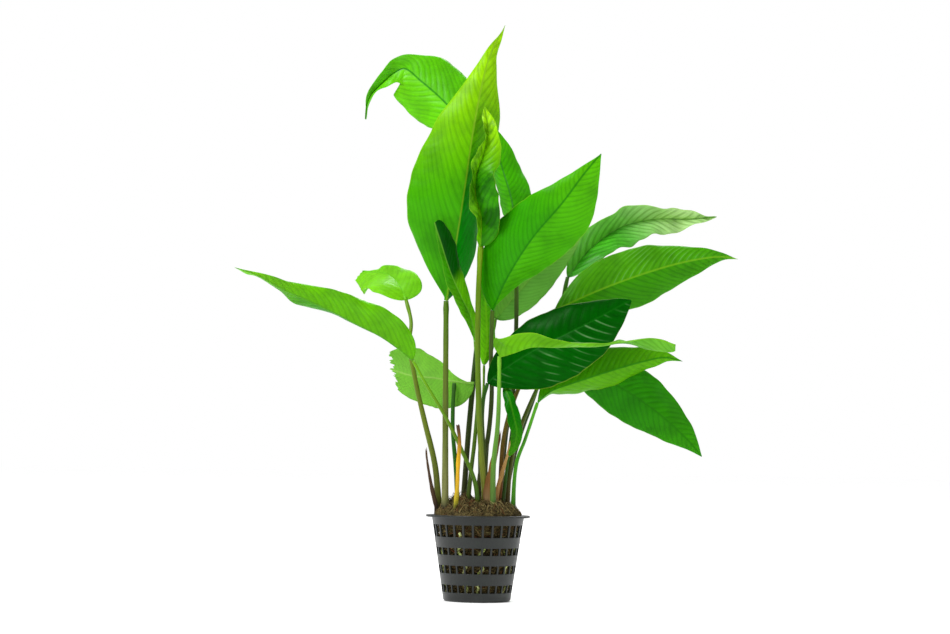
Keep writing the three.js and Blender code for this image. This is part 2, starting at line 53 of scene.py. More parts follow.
# %% Camera
MM = 0.001
EYE = np.array([-3.3, -1200.0, 78.0]) * MM
TARGET = np.array([-3.3, 0.0, 153.0]) * MM
ROLL = np.radians(0.9)
FRAME_WIDTH = 36.0
LENS = 84.0


def unit(vectors):
    """Vectors divided by their own length, along the last axis."""
    return vectors / np.linalg.norm(vectors, axis=-1, keepdims=True)


def aim(thing, eye, target, roll=0.0):
    """Turns an object's -Z towards the target, with its +Y as far up as it can be."""
    back = unit(eye - target)
    side = unit(np.cross([0.0, 0.0, 1.0], back))
    top = np.cross(back, side)
    across = np.cos(roll) * side + np.sin(roll) * top
    up = np.cos(roll) * top - np.sin(roll) * side
    turn = np.eye(4)
    turn[:3, 0], turn[:3, 1], turn[:3, 2], turn[:3, 3] = across, up, back, eye
    thing.matrix_world = Matrix(turn.tolist())


camera = bpy.data.objects.new("camera", bpy.data.cameras.new("camera"))
camera.data.lens = LENS
camera.data.sensor_width = FRAME_WIDTH
camera.data.clip_start = 0.01
bpy.context.scene.collection.objects.link(camera)
aim(camera, EYE, TARGET, ROLL)
bpy.context.scene.camera = camera
bpy.context.scene.view_settings.view_transform = "Standard"
print("camera", round(float(np.linalg.norm(EYE - TARGET)), 2), "m from the plant, lens", LENS, "mm")

# %% Lamps
def soft_lamp(name, place, target, size, power):
    """A square area lamp that faces the target."""
    data = bpy.data.lights.new(name, "AREA")
    data.size = size
    data.energy = power
    lamp = bpy.data.objects.new(name, data)
    bpy.context.scene.collection.objects.link(lamp)
    aim(lamp, np.array(place, float), np.array(target, float))


MIDDLE = (0.0, 0.0, 0.18)
soft_lamp("lamp_left", (-0.7, -0.6, 1.2), MIDDLE, size=0.6, power=24.0)
soft_lamp("lamp_right", (1.1, -0.7, 0.6), MIDDLE, size=0.6, power=3.0)
soft_lamp("lamp_back", (0.2, 0.9, 1.1), MIDDLE, size=0.7, power=16.0)
print("lamps:", [light.name for light in bpy.data.lights])

# %% World
TENT_LIGHT = 0.5

world = bpy.data.worlds.new("tent")
world.use_nodes = True
tent = world.node_tree
seen = tent.nodes["Background"]
seen.inputs["Color"].default_value = (1.0, 1.0, 1.0, 1.0)
lit = tent.nodes.new("ShaderNodeBackground")
lit.inputs["Strength"].default_value = TENT_LIGHT
choice = tent.nodes.new("ShaderNodeMixShader")
ray = tent.nodes.new("ShaderNodeLightPath")
tent.links.new(ray.outputs["Is Camera Ray"], choice.inputs[0])
tent.links.new(lit.outputs[0], choice.inputs[1])
tent.links.new(seen.outputs[0], choice.inputs[2])
tent.links.new(choice.outputs[0], tent.nodes["World Output"].inputs["Surface"])
bpy.context.scene.world = world
print("world seen as pure white, lighting at", TENT_LIGHT)

# %% [markdown]
# ## Making meshes from grids
# Every new piece is a sheet of points worked out with numpy: rows along a path, columns
# round a section. The rings are joined in order and both ends are closed with a fan, so
# each piece is one closed skin. Sculpting by hand would be freer, but a formula can be
# read, changed and checked. A curve is a centripetal Catmull-Rom spline, the same one
# that the engineering model uses, so the fine pieces lie where their solids lie.

# %% Curves
CURVE_STEPS = 800


def spline(points, shares):
    """Centripetal Catmull-Rom curve through the points, at shares 0..1 of its length."""
    points = np.asarray(points, float)
    knots = np.r_[0.0, np.cumsum(np.linalg.norm(np.diff(points, axis=0), axis=1) ** 0.5)]
    gaps = np.diff(knots)[:, None]
    slopes = np.diff(points, axis=0) / gaps
    tangents = np.empty_like(points)
    tangents[0], tangents[-1] = slopes[0], slopes[-1]
    tangents[1:-1] = (slopes[1:] * gaps[:-1] + slopes[:-1] * gaps[1:]) / (gaps[1:] + gaps[:-1])
    at = np.linspace(0.0, knots[-1], CURVE_STEPS)
    i = np.clip(np.searchsorted(knots, at, side="right") - 1, 0, len(points) - 2)
    gap = gaps[i]
    s = ((at - knots[i])[:, None]) / gap
    dense = ((2 * s**3 - 3 * s**2 + 1) * points[i] + (s**3 - 2 * s**2 + s) * gap * tangents[i]
             + (3 * s**2 - 2 * s**3) * points[i + 1] + (s**3 - s**2) * gap * tangents[i + 1])
    length = np.r_[0.0, np.cumsum(np.linalg.norm(np.diff(dense, axis=0), axis=1))]
    place = np.asarray(shares, float) * length[-1]
    return np.stack([np.interp(place, length, dense[:, k]) for k in range(3)], axis=1)


def directions(path):
    """Along a path, sideways to the left as seen from the front, and towards the front."""
    along = unit(np.gradient(path, axis=0))
    front = np.array([0.0, -1.0, 0.0])
    front = unit(front - along * (along @ front)[:, None])
    return along, np.cross(front, along), front


def smooth(x, low=0.0, high=1.0):
    """0 below low, 1 above high and an S-shaped rise between them."""
    t = np.clip((np.asarray(x, float) - low) / (high - low), 0.0, 1.0)
    return t * t * (3 - 2 * t)


def eased(values, shares):
    """A value that eases from one evenly spread station to the next."""
    values = np.asarray(values, float)
    place = np.asarray(shares) * (len(values) - 1)
    i = np.clip(place.astype(int), 0, len(values) - 2)
    s = smooth(place - i)
    return values[i] * (1 - s) + values[i + 1] * s


def wavering(phases, *terms):
    """A sum of sine waves; each term is (array, number of waves, height)."""
    return sum(height * np.sin(2 * np.pi * (waves * at + phase))
               for phase, (at, waves, height) in zip(phases, terms))


print("halfway along a bent line:", spline([[0, 0, 0], [10, 0, 0], [10, 0, 10]], [0.5])[0].round(2))

# %% Meshes
def mesh_from(name, points, faces, layers=None):
    """A mesh object in metres from points in mm; layers are one number per point each."""
    mesh = bpy.data.meshes.new(name)
    mesh.from_pydata((np.asarray(points) * MM).tolist(), [], faces)
    mesh.polygons.foreach_set("use_smooth", np.ones(len(mesh.polygons), bool))
    for layer, values in (layers or {}).items():
        mesh.attributes.new(layer, "FLOAT", "POINT").data.foreach_set("value", np.ravel(values))
    mesh.update()
    piece = bpy.data.objects.new(name, mesh)
    bpy.context.scene.collection.objects.link(piece)
    return piece


def ring_faces(rows, columns, flat_ends=False):
    """Faces of a stack of closed rings, whose ends are closed with a fan, or with a strip if flat."""
    i, j = np.meshgrid(np.arange(rows - 1), np.arange(columns), indexing="ij")
    a = i * columns + j
    b = i * columns + (j + 1) % columns
    quads = np.stack([a, b, b + columns, a + columns], axis=-1).reshape(-1, 4).tolist()
    end = (rows - 1) * columns
    if flat_ends:
        near = np.arange(columns // 2 - 1)
        far = columns - 1 - near
        low = np.stack([near, far, far - 1, near + 1], axis=1)
        high = np.stack([end + near, end + near + 1, end + far - 1, end + far], axis=1)
        return quads + low.tolist() + high.tolist()
    first, last = rows * columns, rows * columns + 1
    k = np.arange(columns)
    low = np.stack([np.full(columns, first), (k + 1) % columns, k], axis=1).tolist()
    high = np.stack([np.full(columns, last), end + k, end + (k + 1) % columns], axis=1).tolist()
    return quads + low + high


print("faces of a tube of 5 rings of 8 points:", len(ring_faces(5, 8)))

# %% Closed pieces
def closed_tube(name, rings, layers=None, flat_ends=False):
    """A closed piece from rings of points, an array of rows x columns x 3."""
    rows, columns, _ = rings.shape
    full = {layer: np.broadcast_to(values, (rows, columns)).ravel()
            for layer, values in (layers or {}).items()}
    points = rings.reshape(-1, 3)
    if not flat_ends:
        points = np.concatenate([points, [rings[0].mean(axis=0), rings[-1].mean(axis=0)]])
        full = {layer: np.r_[values, values[:columns].mean(), values[-columns:].mean()]
                for layer, values in full.items()}
    return mesh_from(name, points, ring_faces(rows, columns, flat_ends), full)


def signed_volume(piece):
    """Volume of a closed mesh in cubic millimetres; positive if its faces point outwards."""
    mesh = piece.data
    mesh.calc_loop_triangles()
    corners = np.empty(len(mesh.loop_triangles) * 3, np.int64)
    mesh.loop_triangles.foreach_get("vertices", corners)
    points = np.empty(len(mesh.vertices) * 3, np.float32)
    mesh.vertices.foreach_get("co", points)
    a, b, c = (points.reshape(-1, 3)[corners.reshape(-1, 3)[:, k]].astype(float) / MM for k in range(3))
    return float(np.einsum("ij,ij->i", a, np.cross(b, c)).sum() / 6)


block = np.array([[[0, 0, h], [1, 0, h], [1, 1, h], [0, 1, h]] for h in (0.0, 1.0)])
trial = closed_tube("trial", block)
print("a block of one millimetre measures", round(signed_volume(trial), 3), "mm3")
bpy.data.meshes.remove(trial.data)

# %% Joining the frame
def adopt(piece, slot, material, *nodes):
    """Says what a piece stands for, what it rides on and what it is made of."""
    piece.data.materials.clear()
    piece.data.materials.append(material)
    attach(piece, "root")
    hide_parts(*nodes)
    return piece


random = np.random.default_rng(7)
print("nodes in the frame:", len(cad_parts))

# %% [markdown]
# ## The shoots
# A shoot is one leaf and its stem. Each is told in a few numbers, in millimetres from the
# centre of the pot's rim, just as in the engineering model. `rib` is the line of the
# midrib from the stem to the tip. The next three are pairs, for the left and the right
# half: `half` is the greatest width, `widest` where along the rib it is reached, and
# `fullness` how blunt the base is. `left_turn` and `right_turn` are the degrees that each
# half is turned to the front, from stem to tip. `length` is the share of the rib that the
# blade covers where its end is gone, and `roll` tells for each half from where to where
# along the rib it rolls in, and to what share of its width. `foot` is where the stem
# leaves the wool, as a share of the crown's radius, `bends` how far the stem leaves a
# straight line at a share of its height, and `stem` its diameter at the foot and at the
# leaf. `joint` is the stem's upper end where the blade bends sharply away from it.

# %% Driving sizes
POT_HEIGHT = 46.0
POT_TOP_DIAMETER = 50.0
POT_BOTTOM_DIAMETER = 36.0
WALL = 1.0
STEM_DEPTH = 5.0
RIM_CENTRE = np.array([0.0, 0.0, POT_HEIGHT])


def pot_radius(z):
    """Outside radius of the pot's wall at a height above its underside."""
    low = POT_BOTTOM_DIAMETER / 2
    return low + (POT_TOP_DIAMETER / 2 - low) * np.asarray(z, float) / POT_HEIGHT


FOOT_CLEARANCE = 2.0
CROWN_RADIUS = float(pot_radius(POT_HEIGHT)) - WALL - FOOT_CLEARANCE
print("crown radius", CROWN_RADIUS, "mm")

# %% Shoot list
SHOOTS = [
    {"name": "tall_front",
     "rib": [[-19, -6, 115], [-15, -16, 139], [-10, -24, 173], [-5, -22, 211], [2, -14, 246],
             [11, -4, 267]],
     "half": [31, 26], "widest": [0.36, 0.34], "fullness": [1.2, 0.7],
     "left_turn": [-10, -10, -10], "right_turn": [-55, -60, -40, -30],
     "foot": [-0.8, -0.41], "stem": [3.4, 2.6],
     "bends": [[0.4, 0, -2], [0.7, 0, -2]]},
    {"name": "young_curled",
     "rib": [[-1, -16, 144], [-1, -21, 160], [-4, -24, 170], [-4, -25, 181], [0, -25, 193],
             [2, -24, 205], [0, -22, 219]],
     "half": [6, 13], "widest": [0.4, 0.35], "fullness": [0.5, 0.5],
     "left_turn": [50, 60, 60, 40], "right_turn": [20, 35, 30, 10],
     "foot": [0.23, -0.18], "stem": [3.2, 2.6],
     "bends": [[0.3, -2.5, 0.5], [0.55, -3, -1.5], [0.8, -2, -1.5]]},
    {"name": "top_left",
     "rib": [[-11, 20, 213], [-20, 24, 226], [-36, 30, 241], [-45, 33, 248], [-51, 34, 245.5],
             [-57, 33, 240], [-63, 31, 233], [-66, 29, 224], [-66, 27, 213]],
     "half": [18.5, 21], "widest": [0.3, 0.3], "fullness": [0.6, 0.6],
     "length": 0.95, "roll": [[0.55, 0.63, 0.5], [0.43, 0.56, 0.45]],
     "left_turn": [-15, -15, -15, -10, 40, 60, 60], "right_turn": [-20, -20, -20, -10, 40, 60, 60],
     "foot": [-0.39, 0.41], "stem": [3, 2.4],
     "bends": [[0.2, 2.8, -1.5], [0.35, 5.6, -0.5], [0.5, 8.6, 1.5], [0.65, 10.2, 3], [0.8, 7.5, 2]]},
    {"name": "behind_young",
     "rib": [[18, 10, 157], [16, 20, 173], [11, 30, 191], [6, 34, 208], [1, 34, 220]],
     "half": [13, 13], "widest": [0.4, 0.4], "fullness": [0.6, 0.6],
     "left_turn": [-60, -60, -50], "right_turn": [-20, -25, -20],
     "foot": [0.5, 0.5], "stem": [2.6, 2.2],
     "bends": [[0.3, 1.5, 1.5], [0.45, 4, 1.5], [0.6, 4, -0.5], [0.8, 2.5, -3.5]]},
    {"name": "broad_right",
     "rib": [[6, -10, 110], [13, -18, 126], [26, -28, 147], [42, -36, 166], [53, -40, 181],
             [62, -42, 192]],
     "half": [22, 20.5], "widest": [0.34, 0.56], "fullness": [0.75, 1.45],
     "left_turn": [-25, -18, -10], "right_turn": [-15, -15, -15],
     "foot": [-0.02, 0.18], "stem": [2.8, 2],
     "bends": [[0.25, 0, 3.5], [0.4, 2.5, 5], [0.6, 3, 8], [0.8, 1, 6]]},
    {"name": "pale_under",
     "rib": [[8, 14, 107], [20, 24, 122], [35, 29, 139], [48, 30, 152], [57, 29, 162]],
     "half": [13, 12], "widest": [0.4, 0.4], "fullness": [0.6, 0.6],
     "left_turn": [0, 0], "right_turn": [0, 0],
     "foot": [0.14, 0.77], "stem": [2, 1.6],
     "bends": [[0.4, -0.4, 0.5], [0.6, 0.4, 1], [0.8, -1.4, 0.5], [0.9, -1.2, 0]]},
    {"name": "wavy_top_right",
     "rib": [[48, 32, 132], [60, 40, 148], [78, 50, 162], [98, 58, 168], [119, 63, 169],
             [135, 66, 171]],
     "half": [12, 16], "widest": [0.38, 0.38], "fullness": [0.6, 0.6],
     "left_turn": [30, 45, 50], "right_turn": [45, 45, 40],
     "foot": [0.64, 0.68], "stem": [2.2, 2],
     "bends": [[0.2, -3.5, -2.5], [0.35, -3.5, -3], [0.5, -1.5, -1.5], [0.75, 1, 1.5]]},
    {"name": "broad_top_right",
     "rib": [[40, 12, 112], [65, 16, 124], [93, 22, 135], [116, 28, 142], [134, 34, 145],
             [144, 37, 144]],
     "half": [17, 17.5], "widest": [0.4, 0.4], "fullness": [0.95, 0.95],
     "left_turn": [-15, -15, -15], "right_turn": [-20, -20, -20],
     "foot": [0.52, 0.23], "stem": [2.6, 1.8],
     "bends": [[0.4, -9.5, -1], [0.55, -9.5, 0], [0.7, -7, 2], [0.85, -3, 2]]},
    {"name": "dark_mid",
     "rib": [[4, -5, 71], [16, -8, 81], [34, -13, 92], [56, -14, 103], [70, -12, 111], [81, -10, 117]],
     "half": [17, 23], "widest": [0.45, 0.45], "fullness": [0.75, 0.75],
     "left_turn": [-20, -20, -20], "right_turn": [0, 10, 0],
     "foot": [0.26, -0.01], "stem": [2.6, 1.8],
     "bends": [[0.5, -2, 0.5], [0.75, -3, -1], [0.9, -2, -1.5]]},
    {"name": "edge_on",
     "rib": [[10, -20, 85], [16, -26, 86], [26, -35, 89], [41, -45, 89], [62, -55, 89.5],
             [87, -64, 93.5], [100, -69, 90]],
     "half": [13, 9], "widest": [0.12, 0.7], "fullness": [0.35, 0.6],
     "left_turn": [35, 50, 62, 72, 82, 60], "right_turn": [-105, -105, -105, -105, -100, -45, -45],
     "foot": [0.37, -0.55], "stem": [3, 1.8],
     "bends": [[0.35, -1, 1], [0.6, 0.5, 0], [0.8, 0.5, -0.5]]},
    {"name": "low_right",
     "rib": [[31, -8, 61], [38, -8, 67], [48, -6, 71], [65, -2, 77], [87, 4, 84], [101, 8, 87],
             [111, 10, 85]],
     "half": [15, 13], "widest": [0.42, 0.42], "fullness": [0.95, 0.95],
     "left_turn": [-20, -20, -20], "right_turn": [-75, -50, -40],
     "foot": [0.84, -0.14], "stem": [2.2, 1.6],
     "bends": [[0.5, -4.5, 1.5], [0.7, -2.5, 1.5]]},
    {"name": "lowest_right",
     "rib": [[43, 4, 83], [60, 9, 79], [78, 13, 70], [99, 17, 56], [115, 20, 42], [123, 22, 33]],
     "half": [16, 16], "widest": [0.45, 0.45], "fullness": [0.9, 0.9],
     "left_turn": [-15, -15, -15], "right_turn": [-15, -15, -15],
     "foot": [0.7, 0.18], "stem": [2.6, 1.8],
     "bends": [[0.35, -8, 2], [0.55, -9.5, 4], [0.75, -8.5, 5], [0.9, -6, 4]]},
    {"name": "hanging_twist", "joint": [14, -1, 71],
     "rib": [[13, -3, 70], [16, -8, 62], [18, -10, 54], [20, -11, 45], [19, -10, 38], [16, -9, 32]],
     "half": [3.6, 3.6], "widest": [0.45, 0.45], "fullness": [0.45, 0.45],
     "left_turn": [-20, -10, 10], "right_turn": [-30, 20, -10],
     "foot": [0.55, -0.09], "stem": [1.8, 1.4],
     "bends": [[0.5, 3, 5.5], [0.75, 4.5, 6.5], [0.95, 3, 6]]},
    {"name": "long_left",
     "rib": [[-36, -20, 82], [-50, -28, 92], [-68, -37, 101], [-85, -45, 109], [-102, -52, 116],
             [-116, -58, 123], [-128, -62, 127]],
     "half": [8, 15], "widest": [0.4, 0.25], "fullness": [0.5, 0.5],
     "left_turn": [-100, -100, -95, -60, -75, -80], "right_turn": [-15, -15, -15],
     "foot": [0.02, -0.41], "stem": [2.4, 1.4],
     "bends": [[0.25, 7, 1], [0.45, 7, -1], [0.65, 5.5, -2], [0.85, 2, -1.5]]},
    {"name": "pale_left",
     "rib": [[-41, 8, 116], [-44.7, 13, 124.2], [-51.4, 26, 131.2], [-61, 42, 134], [-76, 64, 135.5]],
     "half": [18, 12], "widest": [0.3, 0.14], "fullness": [0.5, 0.5],
     "length": 0.8,
     "left_turn": [30, 30, 30], "right_turn": [-15, -15, -15],
     "foot": [-0.95, 0], "stem": [3.4, 1.8],
     "bends": [[0.25, 2.5, -4], [0.45, 0.5, -7.5], [0.6, -1, -9], [0.8, -1.5, -8.5], [0.9, 1, -4]]},
    {"name": "torn_left", "joint": [-14, 4, 71],
     "rib": [[-3, 4, 71], [-14, 6, 72], [-25, 12, 74], [-36, 18, 75], [-47, 24, 78], [-60, 30, 82]],
     "half": [16, 16], "widest": [0.3, 0.65], "fullness": [0.5, 1.8],
     "length": 0.8,
     "left_turn": [0, 0, 0], "right_turn": [0, -10, -10],
     "foot": [-0.48, 0.05], "stem": [2.4, 2],
     "bends": [[0.4, -0.5, -1.5], [0.65, -1.5, -2], [0.85, -1, -1.5]]},
    {"name": "slim_front",
     "rib": [[-3.1, -5, 93.7], [-6, -9, 106.9], [-11, -14, 116.8], [-14.8, -20, 124.3],
             [-19.2, -29, 135.2], [-22.9, -37, 146.1], [-25.6, -42, 154]],
     "half": [6, 11], "widest": [0.4, 0.7], "fullness": [1.0, 1.0],
     "left_turn": [45, 50, 45], "right_turn": [-40, -45, -45],
     "foot": [-0.3, -0.14], "stem": [2.4, 1.6],
     "bends": [[0.3, 1.5, 0], [0.45, 2.5, 0], [0.7, 3, 1], [0.9, 1.5, 0]]},
    {"name": "small_back",
     "rib": [[2, 2, 81], [3.4, 2, 95], [2.8, 2, 108], [1.3, 1, 126]],
     "half": [5, 5], "widest": [0.45, 0.45], "fullness": [0.6, 0.6],
     "left_turn": [-20, -20], "right_turn": [-20, -20],
     "foot": [0.07, 0.5], "stem": [1.6, 1.2],
     "bends": [[0.45, -1.5, 2], [0.65, -1, 1], [0.85, 0, 0.5]]},
]
highest = max(shoot["rib"][-1][2] for shoot in SHOOTS)
print(len(SHOOTS), "shoots, the highest tip", highest, "mm over the rim")

# %% [markdown]
# ## Colours of the shoots
# No two leaves of a living plant are the same green. The young ones are yellow-green and
# let the light through, the old ones are dark, and where the paler underside faces the
# front the leaf looks matt and milky. The greens also carry painted light and shade: a
# half that faces away from the light or lies under other leaves gets a darker green, and a
# tip that catches the light a paler one. Each leaf gets the greens of its left half, its
# right half and its tip, and each stem the colours that it passes through from the crown
# to the leaf. `turn_at` is where along the leaf the tip's green begins and is reached, and
# `right_tip` is the right half's own, a painted shadow where it is given. `upper` is 1
# where the upper side faces the front and -1 where it faces away. `relief` is how deep the
# veins are pressed in, for both halves or as a pair, and `wave` how wavy the margin is,
# both in millimetres. `veins` counts the side veins on each half, `slant` is how far they
# run ahead to the tip, `lines` how dark they are drawn, as painted shade in their
# furrows, and `veins_end` where they stop. `shine` is how strongly a painted highlight
# gleams on the swellings between them, left and right, `wax` how glossy the skin is and
# `mottle` how clouded. `ragged` and `skew` make a torn end uneven and slanting.

# %% Greens
LEAF_LOOKS = {
    # tall_front: the darker right green is painted shade on the half turned away from the light.
    "tall_front": dict(left=(70, 172, 0), right=(0, 156, 0), tip=(172, 228, 4),
                       turn_at=(0.3, 1.0), rib=(140, 186, 40), relief=0.3, veins=11, slant=1.9,
                       wave=1.0),
    "young_curled": dict(left=(120, 204, 10), right=(60, 160, 2), tip=(176, 236, 10),
                         rib=(130, 190, 30), relief=0.4, veins=8, lines=0.6, wave=1.6, wax=0.12,
                         mottle=1.4),
    "top_left": dict(left=(112, 208, 0), right=(96, 194, 0), tip=(90, 184, 30), rib=(10, 128, 4),
                     relief=0.25, veins=10, slant=1.2, veins_end=0.7, wave=0.6, wax=0.2),
    "behind_young": dict(left=(80, 184, 0), right=(70, 176, 0), tip=(88, 190, 2),
                         rib=(30, 120, 6), relief=0.25, veins=10, wave=0.5),
    "broad_right": dict(left=(54, 162, 0), right=(80, 184, 0), tip=(96, 196, 0), rib=(24, 124, 0),
                        relief=0.34, veins=15, wave=0.8),
    "pale_under": dict(left=(112, 184, 60), right=(116, 190, 84), tip=(112, 184, 70),
                       rib=(120, 176, 60), upper=-1, relief=0.3, veins=13, wave=0.6),
    # wavy_top_right: the pale tip green is a painted highlight, light glancing off the tip.
    "wavy_top_right": dict(left=(110, 196, 70), right=(84, 192, 44), tip=(190, 228, 170),
                           turn_at=(0.3, 0.8), rib=(110, 170, 80), relief=0.45, veins=9,
                           lines=0.7, wave=1.7, wax=0.3, shine=(0.35, 0.5)),
    "broad_top_right": dict(left=(84, 168, 16), right=(66, 158, 2), tip=(76, 168, 6),
                            rib=(124, 186, 30), relief=0.34, veins=12, slant=1.3, lines=0.5,
                            wave=0.9, shine=(0.3, 0.0)),
    # dark_mid: the very dark greens are painted shade of a low leaf facing down, away from the light.
    "dark_mid": dict(left=(0, 94, 0), right=(2, 98, 2), tip=(2, 96, 2), rib=(14, 110, 10),
                     relief=(0.12, 0.75), veins=8, slant=0.7, lines=0.3, wave=0.5, wax=0.05,
                     shine=(0.0, 0.42)),
    "edge_on": dict(left=(116, 194, 20), right=(60, 150, 4), tip=(116, 192, 60), relief=0.2,
                    veins=12, wave=0.5),
    "low_right": dict(left=(72, 166, 0), right=(98, 182, 10), tip=(96, 180, 6), rib=(40, 132, 2),
                      relief=0.28, veins=11, lines=0.35, wave=0.7),
    "lowest_right": dict(left=(48, 152, 0), right=(44, 146, 0), tip=(62, 164, 2),
                         rib=(40, 128, 2), relief=0.28, veins=12, wave=0.7),
    "hanging_twist": dict(left=(22, 130, 0), right=(18, 124, 0), tip=(70, 160, 6), relief=0.2,
                          veins=8, wave=1.0),
    "long_left": dict(left=(60, 156, 2), right=(112, 200, 2), tip=(124, 204, 24), relief=0.28,
                      veins=12, slant=1.3, lines=0.35, wave=1.0, wax=0.2),
    "pale_left": dict(left=(128, 208, 30), right=(124, 204, 36), tip=(118, 198, 20),
                      rib=(120, 200, 40), relief=0.15, veins=8, lines=0.22, wave=0.8,
                      ragged=0.006, skew=0.02),
    "torn_left": dict(left=(112, 186, 46), right=(118, 190, 50), tip=(100, 176, 40),
                      rib=(160, 200, 100), upper=-1, relief=0.28, veins=13, lines=0.35, wave=0.6,
                      ragged=0.016, skew=-0.1),
    # slim_front: right_tip is a painted shadow on the upper part of the right half.
    "slim_front": dict(left=(92, 180, 14), right=(116, 204, 10), tip=(70, 168, 4),
                       right_tip=(0, 92, 0), turn_at=(0.42, 0.56), rib=(120, 190, 60),
                       relief=0.22, veins=10, lines=0.35, wave=0.5),
    "small_back": dict(left=(112, 196, 10), right=(104, 190, 4), tip=(70, 168, 10), relief=0.2,
                       veins=8, wave=0.6),
}
print("leaf looks:", len(LEAF_LOOKS))

# %% Stem colours
# From the crown to the leaf: the foot in the wool, then a fifth of the way up, the
# middle and the top.
STEM_LOOKS = {
    "tall_front": [(40, 28, 18), (116, 118, 70), (84, 100, 28), (70, 104, 12)],
    "young_curled": [(84, 66, 46), (118, 124, 40), (82, 114, 2), (104, 142, 2)],
    "top_left": [(44, 30, 16), (58, 64, 24), (40, 72, 12), (60, 116, 12)],
    "behind_young": [(34, 24, 14), (60, 62, 22), (56, 76, 18), (78, 120, 18)],
    "broad_right": [(40, 28, 16), (70, 72, 26), (50, 66, 14), (70, 100, 14)],
    "pale_under": [(34, 24, 12), (56, 62, 18), (58, 84, 14), (92, 138, 30)],
    "wavy_top_right": [(30, 22, 12), (52, 52, 20), (44, 70, 16), (70, 116, 34)],
    "broad_top_right": [(44, 26, 14), (120, 70, 28), (104, 92, 24), (86, 134, 18)],
    "dark_mid": [(38, 24, 14), (78, 66, 24), (64, 84, 14), (38, 94, 8)],
    "edge_on": [(58, 48, 34), (76, 106, 44), (82, 132, 38), (110, 176, 40)],
    "low_right": [(34, 30, 12), (52, 116, 10), (62, 140, 8), (76, 154, 10)],
    "lowest_right": [(36, 24, 14), (76, 62, 24), (72, 84, 18), (80, 136, 14)],
    "hanging_twist": [(34, 26, 12), (46, 66, 14), (40, 90, 8), (40, 116, 6)],
    "long_left": [(36, 24, 12), (50, 84, 2), (84, 124, 0), (100, 160, 2)],
    "pale_left": [(28, 18, 10), (88, 94, 26), (94, 112, 20), (96, 136, 14)],
    "torn_left": [(34, 24, 12), (30, 84, 8), (34, 96, 8), (40, 84, 14)],
    "slim_front": [(38, 28, 14), (62, 78, 18), (68, 102, 14), (88, 138, 20)],
    "small_back": [(34, 24, 12), (60, 70, 14), (84, 112, 12), (96, 144, 14)],
}
print("stem looks:", len(STEM_LOOKS))

# %% [markdown]
# ## Finishes
# A finish that several materials share is a node group: it works out colours and heights
# from the surface's own place and hands them on, and each material keeps its own shader.
# The blade group draws what grows in a leaf: side veins that leave the midrib at a slant,
# finer veins between them, a pale midrib, a cloudy change of green, and a paler underside.
# The veins carry painted shade in their furrows and painted light on the swellings between
# them, and a painted highlight gleams in patches along the swellings.
# It reads numbers that the mesh carries: `vein` counts the side veins along the leaf,
# `across` is the distance from the midrib in millimetres, `margin` runs from 0 at the
# midrib to 1 at the margin, `along` from stem to tip, and `under` is 1 on the underside.

# %% Node helpers
def linear(colour):
    """A screen colour, with 255 for full, as the light it stands for; over 255 it brightens."""
    c = np.asarray(colour, float) / 255
    return (*np.where(c <= 0.04045, c / 12.92, ((c + 0.055) / 1.055) ** 2.4).tolist(), 1.0)


print("middle grey on a screen is", round(linear((128, 128, 128))[0], 3), "of full light")

# %% Wires between nodes
class Wires:
    """A few short words for placing nodes in one tree and joining them."""

    def __init__(self, tree):
        self.tree = tree

    def put(self, socket, value):
        """Joins an output to a socket, or writes a plain value in it."""
        if isinstance(value, bpy.types.NodeSocket):
            self.tree.links.new(value, socket)
        elif isinstance(value, (tuple, list)) and len(value) == 3 and len(socket.default_value) == 4:
            socket.default_value = linear(value)
        else:
            socket.default_value = value

    def node(self, kind, settings=None, **inputs):
        """A node of a kind, with its settings and its inputs by name (or i0, i1 ... by number)."""
        made = self.tree.nodes.new(kind)
        for name, value in (settings or {}).items():
            setattr(made, name, value)
        for name, value in inputs.items():
            numbered = name[0] == "i" and name[1:].isdigit()
            self.put(made.inputs[int(name[1:]) if numbered else name.replace("_", " ")], value)
        return made

    def maths(self, operation, *values, clamp=False):
        """One step of arithmetic."""
        inputs = {f"i{k}": value for k, value in enumerate(values)}
        settings = {"operation": operation, "use_clamp": clamp}
        return self.node("ShaderNodeMath", settings, **inputs).outputs[0]

    def layer(self, name):
        """A number that the mesh carries at each point."""
        return self.node("ShaderNodeAttribute", {"attribute_name": name}).outputs["Fac"]

    def rise(self, value, low, high, to_low=0.0, to_high=1.0):
        """An S-shaped rise between two values."""
        return self.node("ShaderNodeMapRange", {"interpolation_type": "SMOOTHSTEP"},
                         i0=value, i1=low, i2=high, i3=to_low, i4=to_high).outputs[0]

    def mix(self, share, first, second, blend="MIX"):
        """Two colours mixed by a share."""
        made = self.node("ShaderNodeMix", {"data_type": "RGBA", "blend_type": blend})
        self.put(made.inputs[0], share)
        self.put(made.inputs[6], first)
        self.put(made.inputs[7], second)
        return made.outputs[2]

    def noise(self, where, scale, detail=3.0, rough=0.5):
        """Cloudy noise between 0 and 1."""
        made = self.node("ShaderNodeTexNoise", Vector=where, Scale=scale, Detail=detail,
                         Roughness=rough)
        return made.outputs["Fac"]

    def stretched(self, where, amounts):
        """Coordinates stretched along each axis."""
        return self.node("ShaderNodeMapping", Vector=where, Scale=amounts).outputs[0]

    def place(self):
        """The point's own place on the object."""
        return self.node("ShaderNodeTexCoord").outputs["Object"]

    def tinted(self, colour, tint):
        """A colour multiplied by a tint; a tint over 255 makes it brighter."""
        return self.mix(1.0, colour, tint, "MULTIPLY")

    def times(self, first, second):
        """Two values multiplied."""
        return self.maths("MULTIPLY", first, second)

    def plus(self, first, second, clamp=False):
        """Two values added."""
        return self.maths("ADD", first, second, clamp=clamp)


print("words for nodes:", [word for word in vars(Wires) if word[0] != "_"])

